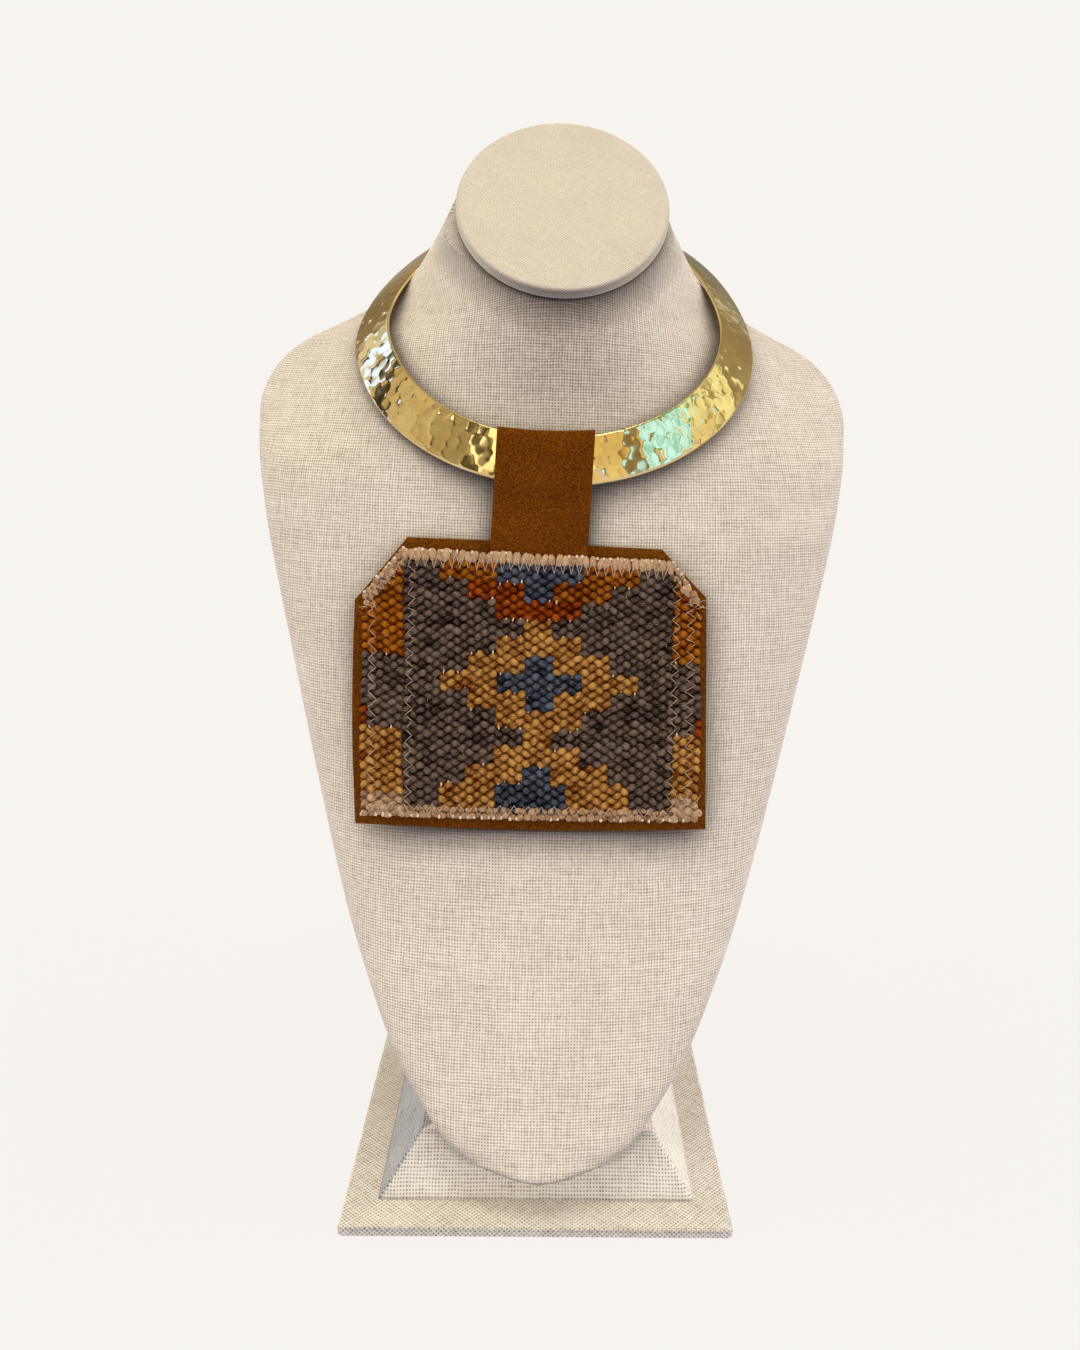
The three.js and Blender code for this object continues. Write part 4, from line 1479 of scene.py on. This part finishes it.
    def weave(self, finishes: Sequence[Material]) -> list[Piece]:
        """Weave the middle field and the two side bands.

        Args:
            finishes: one per yarn.

        Returns:
            The field's object and the bands'.
        """
        rng = np.random.default_rng(self.seed)
        field_shell, band_shell = Shell(), Shell()
        strips = (
            (field_shell, self.left_slit, self.right_slit),
            (band_shell, -self.left_columns, self.left_slit),
            (band_shell, self.right_slit, self.right_columns),
        )
        for number in range(-self.foot_passes, (2 * self.top_row + 1) * self.passes):
            for (shell, first, last), ends in zip(strips, self.strip_ends):
                self.pass_of_weft(shell, rng, number, (first, last), ends)
        return [field_shell.build("kilim_field", finishes), band_shell.build("kilim_side_bands", finishes)]

    def hollow(self, x: Array, up: Array) -> Array:
        """Where the back is hollowed for the strap's sewn end: one inside, nought outside."""
        return between((-21, -19.5, 13, 14.5), x) * smoothstep(179, 181, up)

    def ground(self, finishes: Sequence[Material]) -> Piece:
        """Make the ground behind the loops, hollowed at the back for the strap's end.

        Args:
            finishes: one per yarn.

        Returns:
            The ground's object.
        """
        edge = KILIM.outline()
        centre = edge.mean(0)
        shares = (1.0, 0.97, 0.9, 0.8, 0.7, 0.6, 0.5, 0.4, 0.3, 0.2, 0.1, 0.03)
        front, back = [], []
        for share in shares:
            x, up = (centre + (edge - centre) * share * self.ground_share).T
            front.append(self.chest.point(x, up, self.ground_out + self.bulge(x, up)))
            deep = (self.ground_out - 0.1 - self.back_out) * self.hollow(x, up)
            back.append(self.chest.point(x, up, self.back_out + deep))
        shell = Shell()
        shell.loft(np.stack([*reversed(back), *front]))
        # The ground is painted dark, standing in for the shade between the loops.
        shell.slots = [Yarn.SHADED_GROUND.slot] * len(shell.faces)
        return shell.build("kilim_ground", finishes)

    def build(self, finishes: Sequence[Material], stitches: Piece) -> None:
        """Make the whole panel.

        Args:
            finishes: one per yarn.
            stitches: not used.
        """
        ground = seat(self.ground(finishes), "wool", "kilim_panel")
        pieces = (*self.weave(finishes), Borders(self).build(finishes))
        worked = [seat(piece, "wool") for piece in pieces]
        width, height = KILIM.size()
        KILIM.area() * MM * MM


@dataclass
class Borders:
    """The undyed loops that bind the top, the cut corners and the foot of the kilim, one by one."""

    kilim: Kilim
    foot: Binding = Binding(2.2, 2, 1.75)
    # The right cut corner, the top and the left cut corner.
    top: tuple[Binding, ...] = (
        Binding(2.1, 2, 1.7, skew=-0.2),
        Binding(2.2, 1, 3.6, pale=0.14),
        Binding(2.0, 2, 1.9, skew=0.3),
    )
    seed: int = 22
    warp_seed: int = 23

    def __post_init__(self) -> None:
        """Start the mesh, and what makes it uneven."""
        self.shell, self.rng = Shell(), np.random.default_rng(self.seed)

    def bead(
        self,
        place: tuple[float, float],
        size: tuple[float, float, float],
        tilt: float,
        yarn: Yarn,
        shade: float,
        out: float = 0.0,
    ) -> None:
        """Add one separate loop of yarn.

        Args:
            place: its middle, across and up the chest.
            size: its half width, half height and half thickness.
            tilt: radians that it leans.
            yarn: its yarn.
            shade: how light it is, about nought.
            out: how far it stands out past the ground.
        """
        around, levels = 10, 5
        x, up = place
        turn = turns(around)
        latitude = (-np.pi / 2 + np.pi * np.arange(1, levels + 1) / (levels + 1))[:, None]
        # A loop is fuller than an oval: its sides are drawn out square.
        wide = np.copysign(np.abs(np.cos(turn)) ** 0.8, np.cos(turn)) * np.cos(latitude)
        high = np.copysign(np.abs(np.sin(turn)) ** 0.9, np.sin(turn)) * np.cos(latitude)
        skin = np.stack(np.broadcast_arrays(wide, high, np.sin(latitude)), axis=-1).reshape(-1, 3)
        across, along, thick = (np.vstack([[0, 0, -1], skin, [0, 0, 1]]) * size).T
        uvs = np.stack([along + x * 7, across + 0.45 * along + up * 5], axis=1)
        base = self.kilim.ground_out + float(self.kilim.bulge(x, up)) + out
        turned = spin(across, along, tilt)
        placed = self.kilim.chest.point(turned[0] + x, turned[1] + up, thick + base)
        faces = []
        for s in range(around):
            t = (s + 1) % around
            faces.append((0, 1 + t, 1 + s))
            for a in range(1, 1 + (levels - 1) * around, around):
                faces.append((a + s, a + t, a + around + t, a + around + s))
            faces.append((a + around + s, a + around + t, len(placed) - 1))
        self.shell.add(placed, faces, uvs, yarn.slot, shade)

    def warp_ends(self) -> None:
        """Let the pale warp peep out where one colour gives way to another up a column."""
        kilim, rng = self.kilim, np.random.default_rng(self.warp_seed)
        for column in range(-kilim.left_columns, kilim.right_columns):
            for step in range(-kilim.top_row, kilim.top_row):
                below, above = kilim.yarn_at(column, step), kilim.yarn_at(column, step + 1)
                if below is above or rng.random() > 0.42:
                    continue
                up = kilim.row_height(column, step + 0.5) + rng.normal(0, 0.15)
                x, up = kilim.lay(kilim.middle_x + (column + 0.5) * kilim.column_mm, up)
                if not kilim.inside(x, up, 3.5):
                    continue
                size = (0.26 + rng.normal(0, 0.03), 0.8 + rng.normal(0, 0.2), 0.5)
                self.bead((float(x), float(up)), size, rng.normal(0, 0.1), Yarn.CREAM, 0.15, out=0.75)

    def bind(self, start: Array, end: Array, binding: Binding) -> None:
        """Lay binding loops from one point to another.

        Args:
            start: where the binding begins.
            end: where it ends.
            binding: how it is sewn.
        """
        length, along, inwards = heading(start, end)
        lean = math.atan2(along[1], along[0])
        pitch, deep, rng = binding.pitch, binding.deep, self.rng
        for i in range(round(length / pitch)):
            for r in range(binding.rows):
                place = start + along * ((i + 0.5 + 0.5 * (r % 2)) * pitch + rng.normal(0, 0.16))
                place = place + inwards * ((r + 0.5) * deep + rng.normal(0, 0.16))
                # Half its width, height and thickness, and how unlike each other the loops are in them.
                usual = ((pitch * 0.6, 0.1), (deep * 0.62, 0.14), (1.2, 0.1))
                size = tuple(half + rng.normal(0, spread) for half, spread in usual)
                tilt = lean + binding.skew + rng.normal(0, 0.2)
                shade = binding.pale + rng.normal(0, 0.09)
                self.bead(tuple(place), size, tilt, Yarn.BEIGE, shade, out=0.25)
            # Here and there the warp's end shows between two loops.
            if rng.random() < 0.6:
                place = start + along * (i * pitch + rng.normal(0, 0.15))
                place = place + inwards * (0.35 + rng.normal(0, 0.1))
                size = (0.45 + rng.normal(0, 0.07), 0.62 + rng.normal(0, 0.12), 0.6)
                self.bead(tuple(place), size, lean, Yarn.CREAM, 0.3, out=0.8)

    def build(self, finishes: Sequence[Material]) -> Piece:
        """Make the borders.

        Args:
            finishes: one per yarn.

        Returns:
            The borders' object.
        """
        corners = KILIM.corners
        foot = np.vstack([KILIM.outline()[:16:3], [corners[1]]])
        for a, b in zip(foot, foot[1:]):
            self.bind(a, b, self.foot)
        for edge, binding in enumerate(self.top, 2):
            self.bind(corners[edge], corners[edge + 1], binding)
        self.warp_ends()
        # A knot where the binding's yarn was joined.
        self.bead((42.8, 183.0), (1.9, 1.5, 1.5), 0.4, Yarn.BEIGE, 0.12, out=0.7)
        return self.shell.build("kilim_borders", finishes)


@dataclass
class Stitching:
    """Cream cotton sewn through the kilim: zigzags over its slits and edges, and loose thread ends."""

    kilim: Kilim
    thread_mm: float = 0.14
    loose_mm: float = 0.12  # the thread ends that hang together in a tangle
    stray_mm: float = 0.07  # and the fibres that lie about on the weave
    strays: int = 70
    stray_x: tuple[float, float] = (-54.0, 45.0)
    stray_up: tuple[float, float] = (113.0, 186.0)
    stray_reach: tuple[float, float] = (1.0, 2.2)
    # Zigzags: first and last point, half width, pitch, and how much higher than on plain weave they
    # lie. Both slits, both sides, the top, the foot and the left cut corner.
    seams = (
        ((-43.6, 188.5), (-42.6, 113.5), 1.25, 4.3, 0.0),
        ((40.3, 187.0), (38.6, 113.5), 1.35, 4.6, 0.0),
        ((-55.4, 178.5), (-53.6, 116.0), 1.4, 5.0, 0.0),
        ((44.6, 176.0), (44.2, 112.5), 1.5, 4.2, 0.0),
        ((-44.6, 190.6), (37.4, 188.4), 2.6, 2.7, 0.55),
        ((-54.0, 112.8), (45.0, 112.4), 1.5, 4.2, 0.3),
        ((-56.4, 178.0), (-46.2, 189.2), 1.5, 2.6, 0.4),
    )
    # Tangles, one near each corner: place, reach and number of ends.
    tangles = (
        ((-56.5, 176.5), 3.2, 9), ((45.6, 177.4), 3.0, 13), ((43.0, 114.5), 4.0, 18), ((-53.5, 114.0), 2.6, 7),
    )
    lie: float = 0.75  # height of a stitch's ends over the ground
    hump: float = 0.65  # and how much higher its middle is
    float_up: float = 1.45  # height of loose ends over the ground
    around: int = 6
    seed: int = 5

    def __post_init__(self) -> None:
        """Start the mesh, and what makes it uneven."""
        self.shell, self.rng = Shell(), np.random.default_rng(self.seed)

    def tube(self, line: Array, thick: float) -> None:
        """Add a thread along a line.

        Args:
            line: X, up the chest and out, in millimetres.
            thick: its diameter.
        """
        path = self.kilim.chest.point(line[:, 0], line[:, 1], line[:, 2])
        ahead = np.gradient(path, axis=0)
        ahead /= np.linalg.norm(ahead, axis=1, keepdims=True)
        side = np.cross(ahead, np.array([0.0, -1.0, 0.3]))
        side /= np.linalg.norm(side, axis=1, keepdims=True)
        over = np.cross(side, ahead)
        turn = turns(self.around)[:, None]
        rings = path[:, None] + (side[:, None] * np.cos(turn) + over[:, None] * np.sin(turn)) * thick / 2
        self.shell.loft(rings[:, ::-1])

    def zigzag(
        self,
        start: tuple[float, float],
        end: tuple[float, float],
        half_width: float,
        pitch: float,
        above: float,
    ) -> None:
        """Sew a zigzag from one point to another.

        Args:
            start: X and up of its first point.
            end: X and up of its last.
            half_width: how far it swings to each side.
            pitch: from one swing to the next on the same side.
            above: how much higher it lies than on the plain weave.
        """
        length, along, aside = heading(start, end)
        knots = []
        count = round(length / pitch * 2)
        for i in range(count + 1):
            swing = half_width * (1 if i % 2 else -1) * self.rng.uniform(0.8, 1.15)
            reached = length * i / count + self.rng.normal(0, pitch * 0.06)
            knots.append(start + along * reached + aside * swing)
        for a, b in zip(knots, knots[1:]):
            share = np.linspace(0, 1, 7)
            flat = a + (b - a) * share[:, None]
            base = self.kilim.ground_out + self.kilim.bulge(flat[:, 0], flat[:, 1])
            out = base + above + self.lie + self.hump * np.sin(np.pi * share) ** 0.5
            self.tube(np.column_stack([flat, out]), self.thread_mm)

    def tangle(self, spot: tuple[float, float], reach: float, count: int, thick: float) -> None:
        """Let loose thread ends curl over one place.

        Args:
            spot: X and up of the place.
            reach: how far they reach.
            count: how many there are.
            thick: their diameter.
        """
        for _ in range(count):
            way, bend = self.rng.uniform(0, 2 * np.pi), self.rng.uniform(-2.2, 2.2)
            share = np.linspace(-0.5, 0.5, 8)
            angle = way + bend * share
            flat = np.array(spot) + self.rng.normal(0, reach * 0.3, 2)
            flat = flat + np.cumsum(np.stack([np.cos(angle), np.sin(angle)], axis=1), axis=0) * reach / 8
            base = self.kilim.ground_out + self.kilim.bulge(flat[:, 0], flat[:, 1])
            out = base + self.float_up + 0.5 * np.cos(np.pi * share)
            self.tube(np.column_stack([flat, out]), thick)

    def build(self, finish: Material) -> Piece:
        """Make the stitching.

        Args:
            finish: the cotton.

        Returns:
            The stitching's object.
        """
        for seam in self.seams:
            self.zigzag(*seam)
        for tangle in self.tangles:
            self.tangle(*tangle, self.loose_mm)
        for _ in range(self.strays):
            spot = (self.rng.uniform(*self.stray_x), self.rng.uniform(*self.stray_up))
            self.tangle(spot, self.rng.uniform(*self.stray_reach), 1, self.stray_mm)
        return seat(self.shell.build("kilim_stitches", [finish]), "wool")


# ---- Studio ----


@dataclass(frozen=True)
class Glow:
    """One soft part of the sky, brightest in one direction."""

    colour: str
    strength: float
    toward: tuple[float, float, float]
    power: float

    @property
    def aim(self) -> Array:
        """The direction it is brightest in, of length one."""
        return np.array(self.toward) / np.linalg.norm(self.toward)

    def share(self, ways: Array) -> Array:
        """How much of it arrives from each of some directions."""
        return np.maximum(ways @ self.aim, 0) ** self.power * self.strength


@dataclass
class Studio:
    """A pale floor, a soft bright room, and what the polished collar mirrors of it."""

    backdrop: str = "#F7F4EF"
    sky: tuple[Glow, ...] = (
        Glow("#FFF8DE", 2.24, (-1, 0, 0.25), 2.0),
        Glow("#FFFCEE", 2.2, (1, 0, 0.25), 2.0),
        Glow("#F8F6FF", 0.18, (0, -1, 0.5), 1.0),
    )
    key: str = "#FFFCF4"
    key_light: float = 0.55
    key_tilt: float = 12.0  # degrees from straight up, towards the viewer
    key_spread: float = 18.0
    sky_steps: int = 60  # how finely the sky is added up over the floor
    floor_half: float = 30.0  # metres
    bounce: str = "#EBEAFF"
    floor_bounce: float = 0.95  # light that the floor throws back onto the bust
    shadow: float = 0.08  # how plainly shadows show on the floor

    # The room as a mirror sees it, by bearing: nought towards the viewer, positive to the right.
    walls = (
        (-180, "#918E85"), (-148, "#736858"), (-126, "#6F6454"), (-121, "#A1A4A8"), (-113, "#B8BCBC"),
        (-100, "#A9A696"), (-96, "#AFA993"), (-95, "#11190D"), (-87, "#0E150B"), (-86, "#A2987F"),
        (-72, "#A49E8E"), (-62, "#A69B7F"), (-52, "#8D856F"), (-39, "#7F7761"), (-37, "#373116"),
        (-30.3, "#3A3319"), (-29, "#FFFFF0"), (-12, "#FFFFDE"), (16, "#C4BB99"), (27, "#BBB28D"),
        (29, "#6B583C"), (35, "#7A715B"), (37, "#4E9C94"), (61, "#629A8A"), (63, "#CCD7CA"), (74, "#C6CAB3"),
        (76, "#847A58"), (80, "#746A4C"), (82, "#D4DFCD"), (92, "#C6CAB3"), (97, "#7E7767"),
        (139, "#7B7465"), (141, "#B1AFAD"), (144, "#727068"), (180, "#6E6D64"),
    )
    room_light: float = 1.8
    room_uneven: tuple[float, float] = (0.75, 1.2)
    clutter: float = 7.0  # how finely furniture and folds break up the walls
    # Windows: the sky's colour and light in each, then the bearings of both sides and the
    # elevations of sill and head.
    windows = (
        ("#83A8FF", 5.2, -107.0, -97.8, 8.0, 50.0),
        ("#8AC2FF", 3.2, 36.5, 43.5, 2.0, 18.0), ("#8AC2FF", 3.2, 36.5, 43.5, 20.0, 38.0),
        ("#8AC2FF", 3.2, 45.5, 52.0, 2.0, 18.0), ("#8AC2FF", 3.2, 45.5, 52.0, 20.0, 38.0),
        ("#8AC2FF", 3.2, 54.5, 60.5, 6.0, 36.0),
    )

    def floor(self) -> None:
        """Lay the floor, lit to the backdrop's own shade where nothing stands on it."""
        half = self.floor_half / MM
        shell = Shell()
        corners = np.array([(-half, -half, 0), (half, -half, 0), (half, half, 0), (-half, half, 0)])
        shell.add(corners, [(0, 1, 2, 3)])
        material = bpy.data.materials.new("painted_studio_floor")
        material.use_nodes = True
        tree = material.node_tree
        tree.nodes.clear()
        arriving = np.array(linear(self.key)) * self.key_light * math.cos(math.radians(self.key_tilt)) / math.pi
        # Even steps over the upper half of all directions, each weighed by how steeply it falls.
        steps = self.sky_steps
        height, bearing = np.meshgrid((np.arange(steps) + 0.5) / steps, np.arange(2 * steps) * math.pi / steps)
        flat = np.sqrt(1 - height**2)
        ways = np.stack([flat * np.cos(bearing), flat * np.sin(bearing), height], axis=-1).reshape(-1, 3)
        for glow in self.sky:
            arriving += np.array(linear(glow.colour)) * float((glow.share(ways) * ways[:, 2]).mean() * 2)
        paint = self.shadow * np.array(linear(self.backdrop)) / np.maximum(arriving, 1e-3)
        lit = add_node(tree, "BsdfDiffuse", None, {"Color": (*paint[:3], 1.0)})
        own = add_node(tree, "Emission", None, (linear(self.backdrop), 1 - self.shadow))
        seen = add_node(tree, "AddShader", None, (lit, own))
        bounce = add_node(tree, "Emission", None, (linear(self.bounce), self.floor_bounce))
        path = add_node(tree, "LightPath").outputs
        mixed = add_node(tree, "MixShader", None, (path["Is Camera Ray"], bounce, seen))
        add_node(tree, "OutputMaterial", None, (mixed,))
        shell.build("studio_floor", [material], smooth=False)

    def lights(self) -> None:
        """Hang the soft key light."""
        sun = bpy.data.lights.new("soft_key", "SUN")
        sun.energy = self.key_light
        sun.angle = math.radians(self.key_spread)
        sun.color = linear(self.key)[:3]
        lamp = bpy.data.objects.new("soft_key", sun)
        lamp.rotation_euler = (math.radians(self.key_tilt), 0, 0)
        bpy.context.scene.collection.objects.link(lamp)

    def room(self, tree: Tree, way: Socket) -> Node:
        """Build what mirrors show: walls by bearing, with windows in them.

        Args:
            tree: the world's node tree.
            way: the direction looked in.

        Returns:
            The node whose shader is the room.
        """
        split = add_node(tree, "SeparateXYZ", None, (way,)).outputs
        ahead = add_node(tree, "Math", "MULTIPLY", (split[1], -1.0))
        bearing = add_node(tree, "Math", "ARCTAN2", (split[0], ahead))
        place = add_node(tree, "MapRange", None, (bearing, -math.pi, math.pi))
        # Furniture and folds: slow noise that breaks up the walls.
        clutter = add_node(tree, "TexNoise", None, {"Vector": way, "Scale": self.clutter, "Detail": 3.0})
        low, high = (self.room_light * share for share in self.room_uneven)
        depth = add_node(tree, "MapRange", None, (clutter, 0.3, 0.7, low, high))
        # One ramp would be too short for all walls, so each half of the room has its own.
        halves = []
        for shift, stops in (
            (0.0, [((a + 180) / 180, c) for a, c in self.walls if a <= 0]),
            (-1.0, [(a / 180, c) for a, c in self.walls if a > 0]),
        ):
            along = add_node(tree, "Math", "MULTIPLY_ADD", (place, 2.0, shift))
            ramp = add_node(tree, "ValToRGB", None, (along,))
            set_ramp(ramp, stops)
            halves.append(add_node(tree, "Background", None, (ramp, depth)))
        right = add_node(tree, "Math", "GREATER_THAN", (place, 0.5))
        room = add_node(tree, "MixShader", None, (right, *halves))
        for colour, light, low, high, sill, head in self.windows:
            glass = add_node(tree, "Background", None, (linear(colour), light))
            pane: Node | float = 1.0
            for value, test, limit in (
                (bearing, "GREATER_THAN", math.radians(low)),
                (bearing, "LESS_THAN", math.radians(high)),
                (split[2], "GREATER_THAN", math.sin(math.radians(sill))),
                (split[2], "LESS_THAN", math.sin(math.radians(head))),
            ):
                within = add_node(tree, "Math", test, (value, limit))
                pane = add_node(tree, "Math", "MULTIPLY", (within, pane))
            room = add_node(tree, "MixShader", None, (pane, room, glass))
        return room

    def world(self) -> None:
        """Set the sky, and for mirrors a room with its windows."""
        world = bpy.data.worlds.new("studio")
        bpy.context.scene.world = world
        world.use_nodes = True
        tree = world.node_tree
        tree.nodes.clear()
        way = add_node(tree, "TexCoord").outputs["Generated"]
        sky: Node | None = None
        for glow in self.sky:
            dot = add_node(tree, "VectorMath", "DOT_PRODUCT", (way, tuple(glow.aim))).outputs["Value"]
            facing = add_node(tree, "Math", "MAXIMUM", (dot, 0.0))
            power = add_node(tree, "Math", "POWER", (facing, glow.power))
            strength = add_node(tree, "Math", "MULTIPLY", (power, glow.strength))
            part = add_node(tree, "Background", None, (linear(glow.colour), strength))
            sky = add_node(tree, "AddShader", None, (sky, part)) if sky else part
        behind = add_node(tree, "Background", None, (linear(self.backdrop), 1.0))
        path = add_node(tree, "LightPath").outputs
        lit = add_node(tree, "MixShader", None, (path["Is Glossy Ray"], sky, self.room(tree, way)))
        seen = add_node(tree, "MixShader", None, (path["Is Camera Ray"], lit, behind))
        add_node(tree, "OutputWorld", None, (seen,))
        settings = bpy.context.scene.view_settings
        settings.view_transform = "Standard"
        settings.look = "None"

    def build(self) -> None:
        """Set up floor, lamp and world."""
        self.floor()
        self.lights()
        self.world()


@dataclass
class Viewpoint:
    """The camera: in front, a little above the collar, looking slightly down."""

    x: float = -1.66
    y: float = -366.97
    z: float = 245.9
    pitch: float = 12.81
    yaw: float = 1.89
    roll: float = 1.69
    focal_share: float = 23 / 27  # focal length over the frame's long side
    shift_x: float = -4 / 135  # shift of the lens, over the same side
    film_mm: float = 36.0

    def build(self) -> None:
        """Place the camera."""
        p, y, r = (math.radians(a) for a in (self.pitch, self.yaw, self.roll))
        ahead = np.array([math.sin(y) * math.cos(p), math.cos(y) * math.cos(p), -math.sin(p)])
        level = np.array([math.cos(y), -math.sin(y), 0.0])
        above = np.cross(level, ahead)
        right = math.cos(r) * level + math.sin(r) * above
        up = -math.sin(r) * level + math.cos(r) * above
        data = bpy.data.cameras.new("viewpoint")
        data.sensor_width = self.film_mm
        data.lens = self.film_mm * self.focal_share
        data.shift_x = self.shift_x
        data.clip_start = 0.01
        camera = bpy.data.objects.new("viewpoint", data)
        turned = Matrix([list(right), list(up), list(-ahead)]).transposed().to_4x4()
        camera.matrix_world = Matrix.Translation((self.x * MM, self.y * MM, self.z * MM)) @ turned
        bpy.context.scene.collection.objects.link(camera)
        bpy.context.scene.camera = camera


# ---- The whole ----


def main() -> None:
    """Build the choker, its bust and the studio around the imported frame."""
    logging.basicConfig(level=logging.INFO, format="%(name)s: %(message)s")
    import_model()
    Viewpoint().build()
    Studio().build()

    form_linen = Linen("plain_woven_linen").make()
    cap_linen = Linen(
        "linen_on_the_cross",
        thread="#F2E7D6",
        shaded_thread="#D5C6B0",
        warp_mm=0.76,
        weft_mm=0.8,
        turn=0.72,
        openness=-0.1,
        wander_mm=0.3,
        slub=0.14,
    ).make()
    riser_linen = Linen(
        "open_woven_linen",
        thread="#FFFCF8",
        shaded_thread="#F4ECE4",
        gap="#60564A",
        # Painted shade: the cool grey tint of the riser's side on the wearer's right.
        shade_tint="#C2C9D8",
        warp_mm=1.0,
        weft_mm=1.1,
        contact_mm=10.0,
        contact_depth=1.6,
    ).make()
    board_linen = Linen(
        "heavy_linen",
        thread="#FCF7F1",
        shaded_thread="#EDE4D8",
        gap="#6A5B45",
        openness=0.05,
        warp_mm=1.05,
        weft_mm=1.05,
        turn=0.785,
        contact_mm=0.6,
    ).make()
    brass = Brass().make()
    strap_suede = Suede("chestnut_suede").make()
    backing_suede = Suede("dark_chestnut_suede", light="#824A12", deep="#482000").make()
    yarns = [yarn.finish().make() for yarn in Yarn]

    cap = NeckCap()
    NeckBust(cap).build(form_linen)
    cap.build(cap_linen)
    foot = Foot()
    foot.board(board_linen)
    foot.riser(riser_linen)
    band = CollarBand()
    band.build(brass)
    chest = ChestPlane()
    Strap(band, chest).build(strap_suede)
    Backing(chest).build(backing_suede)
    kilim = Kilim(chest)
    stitches = Stitching(kilim).build(yarns[Yarn.CREAM.slot])
    kilim.build(yarns, stitches)


if __name__ == "__main__":
    main()
